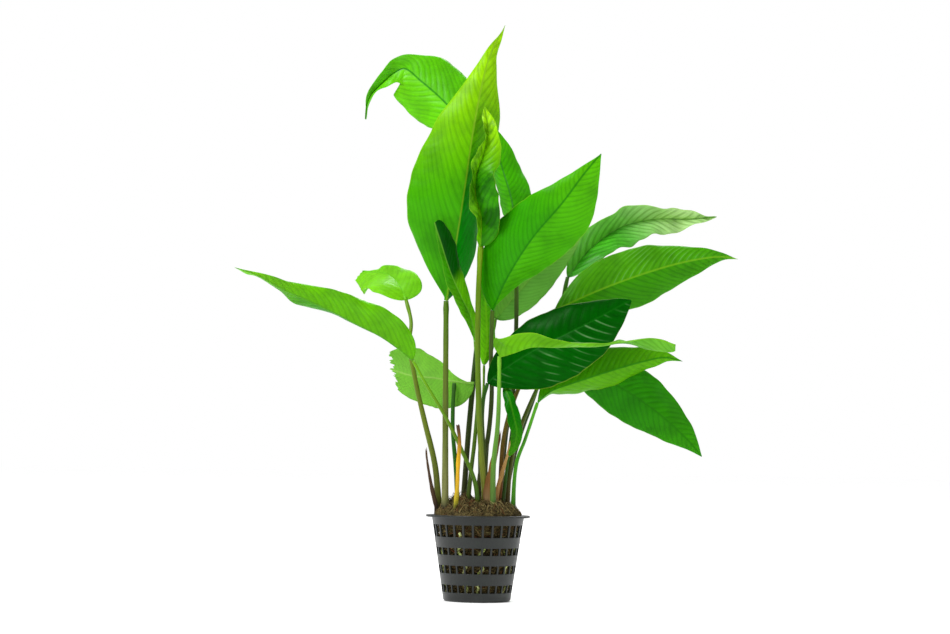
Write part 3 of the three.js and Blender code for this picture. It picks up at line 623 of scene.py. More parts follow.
# %% New groups and materials
def new_group(name, inputs, outputs):
    """A shader node group with named sockets, given as (name, kind, default value)."""
    group = bpy.data.node_groups.new(name, "ShaderNodeTree")
    for label, kind, value in inputs:
        socket = group.interface.new_socket(label, in_out="INPUT", socket_type="NodeSocket" + kind)
        socket.default_value = linear(value) if kind == "Color" else value
    for label, kind in outputs:
        group.interface.new_socket(label, in_out="OUTPUT", socket_type="NodeSocket" + kind)
    wires = Wires(group)
    return group, wires, wires.node("NodeGroupInput").outputs, wires.node("NodeGroupOutput").inputs


def new_material(name, group, values):
    """A material with a Principled shader and one placed group; returns its wires too."""
    material = bpy.data.materials.new(name)
    material.use_nodes = True
    wires = Wires(material.node_tree)
    shader = material.node_tree.nodes["Principled BSDF"]
    placed = wires.node("ShaderNodeGroup", {"node_tree": group})
    for label, value in values.items():
        wires.put(placed.inputs[label], value)
    return material, wires, shader, placed.outputs


print("node groups before the first finish:", len(bpy.data.node_groups))

# %% Greens and veins of a blade
BLADE_INPUTS = [
    ("Left", "Color", (80, 160, 20)), ("Right", "Color", (60, 150, 20)),
    ("Tip", "Color", (90, 170, 30)), ("Right tip", "Color", (90, 170, 30)),
    ("Turn from", "Float", 0.45), ("Turn to", "Float", 1.0),
    ("Shine left", "Float", 0.0), ("Shine right", "Float", 0.0),
    ("Rib", "Color", (150, 200, 80)), ("Under", "Color", (120, 170, 90)),
    ("Under share", "Float", 0.5), ("Vein strength", "Float", 0.5),
    ("Veins end", "Float", 1.4), ("Mottle", "Float", 0.35),
]
BLADE_OUTPUTS = [("Colour", "Color"), ("Glow", "Color"), ("Roughness", "Float"), ("Height", "Float")]
# Tints of painted light on the swellings and of painted shade in the vein furrows.
SWELLING_PAINTED_LIGHT, FURROW_PAINTED_SHADE = (268, 262, 255), (172, 196, 120)
CLOUD_TINT = (150, 178, 120)
# Colour of the painted highlight on the swellings.
PAINTED_GLEAM = (150, 204, 140)
MARGIN_GREEN = (170, 214, 60)
GLOW_TINT = (280, 262, 60)


def line(w, value, inner, outer):
    """1 near each whole number of the value, 0 away from it."""
    return w.rise(w.maths("PINGPONG", value, 0.5), inner, outer, 1.0, 0.0)


def leaf_green(w, given, on_left, along, cloud):
    """The two halves' greens, turning to those of the tip, with darker clouds; the given greens carry
    painted light and shade.
    """
    base = w.mix(on_left, given["Right"], given["Left"])
    end = w.mix(on_left, given["Right tip"], given["Tip"])
    green = w.mix(w.rise(along, given["Turn from"], given["Turn to"]), base, end)
    share = w.times(w.rise(cloud, 0.4, 0.7), given["Mottle"])
    return w.mix(share, green, w.tinted(green, CLOUD_TINT))


def leaf_veins(w, vein, across, margin, under):
    """Side veins, the finer ones between them, and streaks that run along with both."""
    side = w.times(line(w, vein, 0.0, 0.34), w.rise(margin, 0.7, 1.0, 1.0, 0.3))
    finer = line(w, w.times(vein, 4.0), 0.0, 0.3)
    streaks_at = w.node("ShaderNodeCombineXYZ", X=w.times(vein, 4.0), Y=w.times(across, 0.22),
                        Z=under).outputs[0]
    return side, finer, w.noise(streaks_at, 1.0, 3.0, 0.6)


def veins_with_painted_shade(w, given, green, side, finer, streaks, along):
    """The green, with painted light on the swellings and painted shade in the vein furrows."""
    web = w.plus(w.times(finer, 0.22), w.rise(streaks, 0.4, 0.7, 0.0, 0.5))
    still = w.rise(w.maths("SUBTRACT", given["Veins end"], along), 0.0, 0.1)
    strength = w.times(given["Vein strength"], still)
    # Share of the painted shade: most in the vein furrows.
    depth = w.maths("MULTIPLY", w.maths("MAXIMUM", side, web), strength, clamp=True)
    return w.mix(depth, w.tinted(green, SWELLING_PAINTED_LIGHT), w.tinted(green, FURROW_PAINTED_SHADE))


def painted_gleam(w, given, colour, vein, on_left, place):
    """A painted highlight: a pale gleam in patches along one flank of each swelling."""
    gleam_ridge = line(w, w.plus(vein, 0.42), 0.0, 0.15)
    shine = w.mix(on_left, given["Shine right"], given["Shine left"])
    patch = w.rise(w.noise(w.stretched(place, (60.0, 60.0, 70.0)), 1.0, 2.0, 0.5), 0.4, 0.7)
    return w.mix(w.times(w.times(gleam_ridge, patch), shine), colour, PAINTED_GLEAM)


print("vein tints", SWELLING_PAINTED_LIGHT, FURROW_PAINTED_SHADE)

# %% Blade group
def make_blade_group():
    """Greens, veins and clouding of a leaf, from the numbers that its mesh carries."""
    group, w, given, out = new_group("blade_finish", BLADE_INPUTS, BLADE_OUTPUTS)
    vein, across, margin = w.layer("vein"), w.layer("across"), w.layer("margin")
    along, under = w.layer("along"), w.layer("under")
    place = w.place()
    on_left = w.rise(across, -0.8, 0.8)
    cloud = w.noise(place, 70.0, 4.0, 0.6)
    speck = w.noise(place, 900.0, 2.0, 0.6)

    green = leaf_green(w, given, on_left, along, cloud)
    side, finer, streaks = leaf_veins(w, vein, across, margin, under)
    colour = veins_with_painted_shade(w, given, green, side, finer, streaks, along)
    colour = painted_gleam(w, given, colour, vein, on_left, place)
    rib = w.rise(w.maths("ABSOLUTE", across), 0.15, 0.75, 0.8, 0.0)
    colour = w.mix(rib, colour, given["Rib"])
    colour = w.mix(w.rise(margin, 0.97, 1.0, 0.0, 0.45), colour, MARGIN_GREEN)
    milky = w.mix(0.45, colour, given["Under"])
    colour = w.mix(w.times(under, given["Under share"]), colour, milky)
    w.put(out["Colour"], colour)
    w.put(out["Glow"], w.mix(0.6, colour, w.tinted(colour, GLOW_TINT)))

    rough = w.plus(w.rise(cloud, 0.3, 0.8, 0.33, 0.46), w.times(under, 0.16))
    w.put(out["Roughness"], w.plus(rough, w.rise(speck, 0.3, 0.8, -0.03, 0.05), clamp=True))
    furrow = w.times(w.plus(side, w.times(finer, 0.35)), -0.5)
    w.put(out["Height"], w.plus(furrow, w.plus(w.times(streaks, 0.35), w.times(speck, 0.12))))
    return group


BLADE = make_blade_group()
print("blade group:", len(BLADE.nodes), "nodes")

# %% Leaf material
GLOW_SHARE = 0.42
UNDER_GREEN = np.array([150.0, 186.0, 110.0])
RIB_GREEN = np.array([60.0, 84.0, 20.0])


def blade_material(name, look):
    """A leaf: a waxy skin that also lets light through from behind."""
    left, right, tip = (np.array(look[key], float) for key in ("left", "right", "tip"))
    turn_from, turn_to = look.get("turn_at", (0.45, 1.0))
    # shine: strength of the painted highlight on each half.
    shine_left, shine_right = look.get("shine", (0.0, 0.0))
    values = {
        "Left": tuple(left), "Right": tuple(right),
        "Tip": tuple(tip), "Right tip": look.get("right_tip", tuple(tip)),
        "Turn from": turn_from, "Turn to": turn_to,
        "Shine left": shine_left, "Shine right": shine_right,
        "Rib": look.get("rib", tuple(0.55 * left + RIB_GREEN)),
        "Under": tuple(0.5 * left + 0.5 * UNDER_GREEN), "Under share": 0.9,
        "Vein strength": look.get("lines", 0.42), "Veins end": look.get("veins_end", 1.4),
        "Mottle": look.get("mottle", 0.4),
    }
    material, w, shader, given = new_material("blade_" + name, BLADE, values)
    bump = w.node("ShaderNodeBump", Strength=0.35, Distance=0.0002, Height=given["Height"]).outputs[0]
    w.put(shader.inputs["Base Color"], given["Colour"])
    w.put(shader.inputs["Roughness"], given["Roughness"])
    w.put(shader.inputs["Normal"], bump)
    shader.inputs["Specular IOR Level"].default_value = look.get("wax", 0.1)
    through = w.node("ShaderNodeBsdfTranslucent", Color=given["Glow"], Normal=bump).outputs[0]
    both = w.node("ShaderNodeMixShader", i0=GLOW_SHARE, i1=shader.outputs[0], i2=through).outputs[0]
    w.put(material.node_tree.nodes["Material Output"].inputs["Surface"], both)
    return material


print("light that passes through a leaf:", GLOW_SHARE)

# %% [markdown]
# The stalk group runs four colours up a stem, with long fibres, dark specks and a brown
# skin where it leaves the wool. The plain group gives a base colour two kinds of change,
# a slow cloud and a fine grain, and a height for the bump; plastic, wool, roots and the
# rootstock all use it with their own values.

# %% Stalk group
STALK_INPUTS = [("Crown", "Color", (60, 44, 24)), ("Low", "Color", (90, 100, 40)),
                ("Middle", "Color", (90, 130, 40)), ("Top", "Color", (100, 150, 40))]
SKIN_OUTPUTS = [("Colour", "Color"), ("Roughness", "Float"), ("Height", "Float")]
FIBRE_TINT = (180, 176, 150)
SPECK_BROWN = (60, 48, 28)


def make_stalk_group():
    """Four colours from the foot to the leaf, with fibres that run along the stem."""
    group, w, given, out = new_group("stalk_finish", STALK_INPUTS, SKIN_OUTPUTS)
    along, around, rise = w.layer("along"), w.layer("around"), w.layer("rise")
    place = w.place()
    cloud = w.noise(w.stretched(place, (300.0, 300.0, 60.0)), 1.0, 3.0, 0.6)
    wander = w.times(w.maths("SUBTRACT", cloud, 0.5), 9.0)
    lower = w.mix(w.rise(along, 0.05, 0.5), given["Low"], given["Middle"])
    colour = w.mix(w.rise(along, 0.6, 1.0), lower, given["Top"])
    crown = w.rise(w.plus(rise, wander), 2.5, 9.0, 1.0, 0.0)
    colour = w.mix(crown, colour, given["Crown"])
    fibres_at = w.node("ShaderNodeCombineXYZ", X=w.times(around, 14.0), Y=w.times(rise, 0.08))
    fibres = w.noise(fibres_at.outputs[0], 1.0, 3.0, 0.55)
    colour = w.mix(w.rise(fibres, 0.35, 0.7, 0.0, 0.4), colour, w.tinted(colour, FIBRE_TINT))
    speck = w.noise(place, 1100.0, 2.0, 0.5)
    colour = w.mix(w.rise(speck, 0.62, 0.72, 0.0, 0.45), colour, w.mix(0.6, colour, SPECK_BROWN))
    w.put(out["Colour"], colour)
    w.put(out["Roughness"], w.plus(w.rise(cloud, 0.3, 0.7, 0.38, 0.5), w.times(crown, 0.3)))
    w.put(out["Height"], w.plus(fibres, w.times(speck, 0.3)))
    return group


STALK = make_stalk_group()
print("stalk group:", len(STALK.nodes), "nodes")


def stalk_material(name, colours):
    """A stem: smooth, fibrous, a little waxy."""
    values = dict(zip(("Crown", "Low", "Middle", "Top"), colours))
    material, w, shader, given = new_material("stalk_" + name, STALK, values)
    w.put(shader.inputs["Base Color"], given["Colour"])
    w.put(shader.inputs["Roughness"], given["Roughness"])
    bump = w.node("ShaderNodeBump", Strength=0.5, Distance=0.0002, Height=given["Height"])
    w.put(shader.inputs["Normal"], bump.outputs[0])
    shader.inputs["Specular IOR Level"].default_value = 0.2
    return material


# %% Plain group
PLAIN_INPUTS = [
    ("Base", "Color", (60, 60, 60)), ("Cloud", "Color", (70, 70, 70)), ("Grain", "Color", (50, 50, 50)),
    ("Stretch", "Vector", (1.0, 1.0, 1.0)), ("Cloud size", "Float", 120.0),
    ("Grain size", "Float", 2500.0), ("Grain share", "Float", 0.4),
    ("Roughness", "Float", 0.6), ("Roughness change", "Float", 0.1),
]


def make_plain_group():
    """A base colour with a slow cloud and a fine grain of two more colours."""
    group, w, given, out = new_group("plain_finish", PLAIN_INPUTS, SKIN_OUTPUTS)
    scaled = w.node("ShaderNodeVectorMath", {"operation": "MULTIPLY"},
                    i0=w.place(), i1=given["Stretch"]).outputs[0]
    cloud = w.noise(scaled, given["Cloud size"], 4.0, 0.6)
    grain = w.noise(scaled, given["Grain size"], 3.0, 0.6)
    colour = w.mix(w.rise(cloud, 0.35, 0.65), given["Base"], given["Cloud"])
    share = w.times(w.rise(grain, 0.4, 0.65), given["Grain share"])
    w.put(out["Colour"], w.mix(share, colour, given["Grain"]))
    change = w.times(w.maths("SUBTRACT", cloud, 0.5), given["Roughness change"])
    w.put(out["Roughness"], w.plus(given["Roughness"], change, clamp=True))
    w.put(out["Height"], grain)
    return group


PLAIN = make_plain_group()


def plain_material(name, bump_height, gloss=0.3, **values):
    """A material from the plain group, with values for its inputs; bump_height is in metres."""
    named = {label.replace("_", " "): value for label, value in values.items()}
    material, w, shader, given = new_material(name, PLAIN, named)
    w.put(shader.inputs["Base Color"], given["Colour"])
    w.put(shader.inputs["Roughness"], given["Roughness"])
    shader.inputs["Specular IOR Level"].default_value = gloss
    bump = w.node("ShaderNodeBump", Strength=0.6, Distance=bump_height, Height=given["Height"])
    w.put(shader.inputs["Normal"], bump.outputs[0])
    return material


print("node groups:", [group.name for group in bpy.data.node_groups])

# %% [markdown]
# ## Leaves
# A leaf is a very thin closed skin. A flat card with a leaf painted on it is the quick way,
# but it has no thickness at a torn end and no relief for the light to catch, so this one
# is a surface with two parameters. One parameter runs along the midrib, the other across
# it from margin to margin, and both faces are worked out at once: the midrib's curve
# gives the middle, the two turns give the slope of each half, and the outline formula
# gives the width. Then the living detail is added to both faces together, so that the
# leaf stays thin: the blade swells between its side veins, the midrib is a furrow above
# and a ridge below, the halves are gently arched and the margin waves. Close to the stem
# the blade narrows until only the round midrib is left, which runs on into the stem.

# %% Outline of a blade
BLADE_ROWS = 190
HALF_COLUMNS = 21
BLADE_THICKNESS = 0.42
FIRST, LAST = 0.004, 0.994
RIB_SHARE = 0.34
VEIN_SHARE = 1.9
PATH_STEPS = 500


def width_share(u, widest, fullness):
    """Half-width as a share of its widest: (u/m)^p towards the stem, ((1-u)/(1-m))^q to the tip."""
    fall = fullness * (1 - widest) / widest
    return (u / widest) ** fullness * ((1 - u) / (1 - widest)) ** fall


def blade_grid(shoot, look, phases):
    """Share along the rib for each point, and across it from -1 at the right margin to 1."""
    across = np.linspace(0, 1, HALF_COLUMNS) ** 1.55
    v = np.concatenate([across[::-1], -across[1:]])[None, :]
    reach_end = LAST * shoot.get("length", 1.0)
    ragged = look.get("ragged", 0.0) * wavering(phases[8:], (v, 2.5, 1.0), (v, 7, 0.8), (v, 17, 0.5))
    rough_edge = ragged + look.get("skew", 0.0) * v
    u = FIRST + (reach_end + rough_edge - FIRST) * np.linspace(0, 1, BLADE_ROWS)[:, None]
    return np.broadcast_to(u, (BLADE_ROWS, v.size)), v


def rib_radii(shoot, u):
    """Radius of the midrib: it thins towards the tip, and at the base swells into the stem."""
    stem_radius, thin_radius = shoot["stem"][1] / 2, RIB_SHARE * shoot["stem"][1]
    radius = thin_radius * (1 - 0.86 * u ** 0.6)
    return radius + (stem_radius - thin_radius) * (1 - smooth(u, 0, 0.1))


def half_widths(shoot, u, is_left, phases):
    """Outline formula of each half, crinkled a little, and narrowed where the half is rolled in."""
    sides = zip(shoot["half"], shoot["widest"], shoot["fullness"])
    width = np.where(is_left, *[half * width_share(u, widest, full) for half, widest, full in sides])
    uneven = wavering(phases[4:], (u, 5, 0.01), (u, 11, 0.006)) * smooth(u, 0.05, 0.2)
    crinkle = 1 + uneven * np.where(is_left, 1, -1)
    if "roll" in shoot:
        rolled = [1 - (1 - share) * smooth(u, start, stop) for start, stop, share in shoot["roll"]]
        crinkle = crinkle * np.where(is_left, *rolled)
    return width * crinkle


print("width halfway to the tip:", round(float(width_share(0.7, 0.4, 0.6)), 3), "of the widest")

# %% Lie of the two halves
def along_path(values, shares):
    """Reads a table of vectors, evenly spread over 0..1, at an array of shares."""
    at = np.linspace(0, 1, len(values))
    return np.stack([np.interp(shares, at, values[:, k]) for k in range(3)], axis=-1)


def blade_frame(shoot, u):
    """The midrib's points, its left and front directions, and its length."""
    path = spline(np.array(shoot["rib"], float) + RIM_CENTRE, np.linspace(0, 1, PATH_STEPS))
    length = np.linalg.norm(np.diff(path, axis=0), axis=1).sum()
    _, left, front = directions(path)
    return along_path(path, u), along_path(left, u), along_path(front, u), length


def turned(left, front, degrees, u, side):
    """A half's way out from the midrib and the way it faces; side is 1 for left, -1 for right."""
    turn = np.radians(eased(degrees, u))[..., None]
    outward = side * left * np.cos(turn) + front * np.sin(turn)
    facing = front * np.cos(turn) - side * left * np.sin(turn)
    return outward, facing


upright = turned(np.array([-1.0, 0, 0]), np.array([0, -1.0, 0]), [0, 0], np.array([0.5]), 1)
print("a flat left half goes", upright[0][0], "and faces", upright[1][0])

# %% Veins and waves in height
def vein_count(look, u, x, size, length, phases):
    """Number of side veins passed since the stem; they slant forward, more so at the margin."""
    slant = look.get("slant", 1.0) * x / length * (0.75 + 0.65 * size)
    count = VEIN_SHARE * look["veins"] * (u * 1.02 - slant)
    return count + wavering(phases, (u, 2.0, 0.12), (u, 4.3, 0.07))


def blade_lift(look, u, x, size, signed, width, length, vein, phases):
    """Height off the flat half: swellings between veins, arch, curl, wavy margin and dimples."""
    is_left = signed > 0
    blade_part = smooth(u, 0.02, 0.16) * (1 - smooth(u, 0.9, 1.0))
    relief = np.where(is_left, *np.broadcast_to(look["relief"], 2))
    swell = (np.abs(np.sin(np.pi * vein)) ** 0.6 - 0.62) * relief
    swell = swell * smooth(x, 0.6, 4.0) * (1 - 0.8 * size ** 3) * blade_part
    arch = 0.055 * width * 4 * size * (1 - size) * smooth(u, 0.02, 0.2)
    curl = -0.05 * width * size ** 3 * blade_part
    phase = np.where(is_left, phases[2], phases[3])
    long_waves = np.sin(2 * np.pi * (3.2 * u + phase))
    short_waves = 0.35 * np.sin(2 * np.pi * (7.5 * u + 2 * phase))
    waves = look["wave"] * size ** 2.5 * blade_part * (long_waves + short_waves)
    dimple = np.sin(0.55 * signed + 9 * phases[6]) * np.sin(26 * u * length / 100 + 9 * phases[7])
    return look.get("upper", 1) * (swell + arch + curl) + waves + 0.12 * dimple * blade_part


def face_heights(u, x, size, rib_radius, upper):
    """Half thickness of the front and the back: a thin blade, with the midrib round below it."""
    thin = BLADE_THICKNESS / 2 * (1 - 0.8 * size ** 6) * (1 - 0.4 * u)
    round_rib = rib_radius * np.sqrt(np.clip(1 - (x / rib_radius) ** 2, 0, 1))
    furrow = 0.45 * rib_radius * np.exp(-(x / (0.7 * rib_radius)) ** 2) * smooth(u, 0.05, 0.2)
    above = np.maximum(thin, round_rib * (1 - smooth(u, 0.0, 0.14))) - furrow
    below = np.maximum(thin, round_rib)
    return (above, below) if upper > 0 else (below, above)


print("side veins for each one counted:", VEIN_SHARE)

# %% Skin of a leaf
def on_both_faces(values, like):
    """Values of the front face followed by those of the back, which runs the other way."""
    values = np.broadcast_to(values, like.shape)
    return np.concatenate([values, values[:, ::-1]], axis=1)


def blade(shoot, look, seed):
    """The closed skin of one leaf.

    point = midrib + reach x side direction + (lift +/- half thickness) x face normal, where
    reach is the half-width times the column's share, and lift adds an arch across each half,
    waves that grow towards the margin, and |sin(pi x vein)|^0.6 with vein counting side veins.
    """
    phases = np.random.default_rng(seed).random(12)
    u, v = blade_grid(shoot, look, phases)
    size, is_left = np.abs(v), v > 0
    rib_radius = rib_radii(shoot, u)
    width = np.maximum(half_widths(shoot, u, is_left, phases), rib_radius)
    x = width * size
    signed = np.where(is_left, x, -x)

    middle, left, front, length = blade_frame(shoot, u)
    out_left, face_left = turned(left, front, shoot["left_turn"], u, 1)
    out_right, face_right = turned(left, front, shoot["right_turn"], u, -1)
    outward = np.where(is_left[..., None], out_left, out_right)
    to_left = smooth(signed, -1.4, 1.4)[..., None]
    normal = unit(face_left * to_left + face_right * (1 - to_left))

    vein = vein_count(look, u, x, size, length, phases)
    lift = blade_lift(look, u, x, size, signed, width, length, vein, phases)
    upper = look.get("upper", 1)
    front_height, back_height = face_heights(u, x, size, rib_radius, upper)
    sheet = middle + outward * x[..., None] + normal * lift[..., None]
    front_face = sheet + normal * front_height[..., None]
    back_face = (sheet - normal * back_height[..., None])[:, ::-1]
    rings = np.concatenate([front_face, back_face], axis=1)

    front_under, back_under = np.full(u.shape, float(upper < 0)), np.full(u.shape, float(upper > 0))
    layers = {"vein": on_both_faces(vein, u), "across": on_both_faces(signed, u),
              "margin": on_both_faces(size, u), "along": on_both_faces(u, u),
              "under": np.concatenate([front_under, back_under], axis=1)}
    return closed_tube("leaf_" + shoot["name"], rings, layers, flat_ends=True)


print("points on a leaf:", BLADE_ROWS * (4 * HALF_COLUMNS - 2))

# %% Make the leaves
for number, shoot in enumerate(SHOOTS):
    look = LEAF_LOOKS[shoot["name"]]
    leaf = blade(shoot, look, 100 + number)
    slot = "leaf_underside" if look.get("upper", 1) < 0 else "leaf"
    adopt(leaf, slot, blade_material(shoot["name"], look), "leaf_" + shoot["name"])
    print(leaf.name, len(leaf.data.polygons), "faces,", round(signed_volume(leaf)), "mm3")

# %% [markdown]
# ## Stems
# A stem is round, a little swollen where it meets the leaf, and broad at the foot, where
# its sheath used to wrap the next stem. It is a tube along the curve that the engineering
# model gives, with shallow ridges that run its whole length. The volume of each closed
# tube is printed: a volume below zero would mean that its faces point inwards. A curve
# with a round bevel would look much the same, but a grid can carry the numbers that the
# material reads: the share along the stem, the height over the rim and the turn round it.

# %% Stem tubes
STEM_ROWS = 130
STEM_COLUMNS = 26


def stem_path(shoot):
    """The stem's line from below the wool's surface through its bends to the blade."""
    foot = np.array([shoot["foot"][0] * CROWN_RADIUS, shoot["foot"][1] * CROWN_RADIUS, -STEM_DEPTH])
    top = np.array(shoot.get("joint", shoot["rib"][0]), float)
    bends = [foot + (top - foot) * share + np.array([x, y, 0.0]) for share, x, y in shoot["bends"]]
    return np.array([foot, *bends, top]) + RIM_CENTRE


def round_tube(path, wide, deep, columns, ridges=0, ridge_height=0.0, phase=0.0):
    """Rings round a path: centre + left x wide x cos(angle) + front x deep x sin(angle)."""
    _, left, front = directions(path)
    angle = np.linspace(0, 2 * np.pi, columns, endpoint=False)[None, :]
    ripple = 1 + ridge_height * np.sin(ridges * angle + phase + 0.004 * path[:, 2:3])
    wide, deep = np.asarray(wide)[:, None] * ripple, np.asarray(deep)[:, None] * ripple
    return (path[:, None] + left[:, None] * (wide * np.cos(angle))[..., None]
            + front[:, None] * (deep * np.sin(angle))[..., None])


def stem(shoot, seed):
    """A tapering tube, flared at the foot and swollen below the leaf."""
    phases = np.random.default_rng(seed).random(4)
    share = np.linspace(0, 1, STEM_ROWS)
    path = spline(stem_path(shoot), share)
    rise = path[:, 2] - POT_HEIGHT
    radius = (shoot["stem"][0] + (shoot["stem"][1] - shoot["stem"][0]) * share) / 2
    flare = 1 + 0.42 * np.exp(-np.clip(rise, 0, None) / 7.0)
    swelling = 1 + 0.16 * np.exp(-((share - 0.965) / 0.022) ** 2)
    uneven = 1 + wavering(phases, (share, 3, 0.02), (share, 8, 0.012))
    radius = radius * flare * swelling * uneven
    rings = round_tube(path, radius * 1.04, radius * 0.96, STEM_COLUMNS, 7, 0.018, 6 * phases[3])
    around = np.abs(np.linspace(-1, 1, STEM_COLUMNS, endpoint=False))[None, :]
    layers = {"along": share[:, None], "rise": rise[:, None], "around": around}
    return closed_tube("stem_" + shoot["name"], rings, layers)


print("points on a stem:", STEM_ROWS * STEM_COLUMNS)

# %% Make the stems
volumes = []
for number, shoot in enumerate(SHOOTS):
    finish = stalk_material(shoot["name"], STEM_LOOKS[shoot["name"]])
    piece = adopt(stem(shoot, 200 + number), "stem", finish, "stem_" + shoot["name"])
    volumes.append(round(signed_volume(piece)))
print("stem volumes, mm3:", volumes)

# %% [markdown]
# ## Dead stalk and dry sheaths
# Old leaf bases stay on the crown as thin brown skins, and one leaf has died back to a
# yellow stalk with a brown end. Each is a flattened, ribbed rod along a path of a few
# points: the ribs are a sine round the section, and the ragged end comes from a height
# that differs from rib to rib. `ribs` is their height as a share of the radius, and
# `ragged` the height of the torn teeth in millimetres. A crumpled sheet would be truer,
# but at this size a ribbed rod looks the same and is sure to be closed.

# %% Dry pieces
DRY_PIECES = [
    {"name": "dead_stalk", "foot": [-0.6, -0.68],
     "points": [[-11.5, -17, 12], [-11, -19, 28], [-10.5, -20, 40], [-11.5, -20, 48]],
     "width": [2.4, 1.9], "depth": [2.2, 1.8], "ribs": 0.03, "ragged": 0.6},
    {"name": "dry_sheath_brown", "foot": [0.28, -0.35],
     "points": [[5.4, -7.5, 13], [7, -7, 25], [11, -5.8, 43]],
     "width": [6.4, 1.4], "depth": [1, 0.6], "ribs": 0.16, "ragged": 3.5},
    {"name": "dry_sheath_tan", "foot": [0.43, 0],
     "points": [[10, -2, 12], [13, -1.5, 24], [17, -1, 38]],
     "width": [3.6, 1.0], "depth": [1, 0.6], "ribs": 0.16, "ragged": 3.0},
    {"name": "old_sheath_dark", "foot": [-0.9, -0.2],
     "points": [[-24.5, -5, 12], [-27, -5.5, 24], [-28.5, -6, 34]],
     "width": [3, 0.8], "depth": [1.2, 0.6], "ribs": 0.14, "ragged": 2.5},
]
DRY_LOOKS = {
    "dead_stalk": [(70, 62, 24), (132, 152, 30), (206, 158, 14), (66, 40, 24)],
    "dry_sheath_brown": [(92, 72, 48), (160, 142, 100), (120, 80, 36), (80, 50, 22)],
    "dry_sheath_tan": [(84, 54, 28), (150, 104, 56), (178, 134, 76), (190, 152, 96)],
    "old_sheath_dark": [(34, 24, 14), (52, 36, 20), (66, 46, 26), (78, 56, 32)],
}


DRY_ROWS, DRY_COLUMNS = 90, 32


def dry_piece(part, seed):
    """A ribbed strip along its path, with a ragged upper end."""
    phases = np.random.default_rng(seed).random(6)
    share = np.linspace(0, 1, DRY_ROWS)
    foot = [part["foot"][0] * CROWN_RADIUS, part["foot"][1] * CROWN_RADIUS, -STEM_DEPTH]
    path = spline(np.array([foot, *part["points"]], float) + RIM_CENTRE, share)
    wide = (part["width"][0] + (part["width"][1] - part["width"][0]) * share) / 2
    deep = (part["depth"][0] + (part["depth"][1] - part["depth"][0]) * share) / 2
    wide = wide * (1 + wavering(phases, (share, 2.3, 0.08), (share, 6, 0.05)))
    rings = round_tube(path, wide, deep, DRY_COLUMNS, 8, part["ribs"], 5 * phases[2])
    angle = np.linspace(0, 2 * np.pi, DRY_COLUMNS, endpoint=False)
    coarse, fine = np.sin(3 * angle + 6 * phases[3]), 0.6 * np.sin(7 * angle + 6 * phases[4])
    teeth = part["ragged"] * (coarse + fine) / 1.6
    rings[..., 2] += teeth[None, :] * smooth(share, 0.75, 1.0)[:, None]
    around = np.abs(np.linspace(-1, 1, DRY_COLUMNS, endpoint=False))[None, :]
    layers = {"along": share[:, None], "rise": path[:, 2:3] - POT_HEIGHT, "around": around}
    return closed_tube(part["name"], rings, layers)


for number, part in enumerate(DRY_PIECES):
    finish = stalk_material(part["name"], DRY_LOOKS[part["name"]])
    slot = "dead_stalk" if part["name"] == "dead_stalk" else "dry_sheath"
    adopt(dry_piece(part, 300 + number), slot, finish, part["name"])
print(len(DRY_PIECES), "dry pieces")

# %% [markdown]
# ## Wool plug
# The plant is held in a plug of brown mineral wool. Its body is one turned surface whose
# line goes from the middle of the floor, up behind the wall, out to fill the mouth and in
# over the mound. The mound is pushed up and down by a sum of waves in many directions,
# which is cloudy like real noise but needs no picture. On top of it lie loose fibres:
# thin three-sided threads that follow the surface with a little curl. A plug made of hair
# alone would need far more strands to look as dense as this body does.

# %% Wool surface
WOOL_CROWN = 5.0
FLOOR = 1.2
CLEARANCE = 0.3
ROOT_SPACE = 2.4
# Each tuft: its place from the middle, how far it rises and its radius.
TUFTS = [(-7.0, -3.0, 5.0, 7.0), (-15.0, -6.0, 1.6, 4.5), (8.0, -14.0, 1.4, 5.0),
         (15.0, -3.0, 1.8, 5.0), (2.0, -9.0, 1.5, 4.0), (-3.0, 14.0, 2.0, 6.0),
         (14.0, 12.0, 1.5, 5.0), (-16.0, 9.0, 1.5, 5.0)]


def cloudy(x, y, z, size, seed, waves=36):
    """Smooth noise between about -1 and 1: the mean of sine waves in many directions."""
    rng = np.random.default_rng(seed)
    turns = unit(rng.normal(size=(waves, 3))) * rng.uniform(0.6, 1.8, (waves, 1)) * 2 * np.pi / size
    phase = rng.random(waves) * 2 * np.pi
    total = sum(np.sin(x * k[0] + y * k[1] + z * k[2] + p) for k, p in zip(turns, phase))
    return total / np.sqrt(waves / 2) / 1.6


def mound(x, y):
    """Height of the wool above the pot's underside at a place inside the mouth."""
    share = np.hypot(x, y) / CROWN_RADIUS
    places, heights = [0, 0.28, 0.55, 0.8, 0.97, 1.1], [1, 1, 0.95, 0.8, 0.45, 0.1]
    height = WOOL_CROWN * np.interp(share, places, heights)
    for tuft_x, tuft_y, rise, radius in TUFTS:
        height = height + rise * np.exp(-((x - tuft_x) ** 2 + (y - tuft_y) ** 2) / radius ** 2)
    lumps = 1.5 * cloudy(x, y, 0 * x, 9.0, 11)
    knots = 1.0 * cloudy(x, y, 0 * x, 4.0, 12)
    fluff = 0.3 * cloudy(x, y, 0 * x, 1.5, 13)
    rough = lumps + knots + fluff
    return POT_HEIGHT + height + rough * (1 - 0.6 * smooth(share, 0.85, 1.1))


print("top of the wool:", round(float(mound(np.zeros(1), np.zeros(1))[0]), 1), "mm")

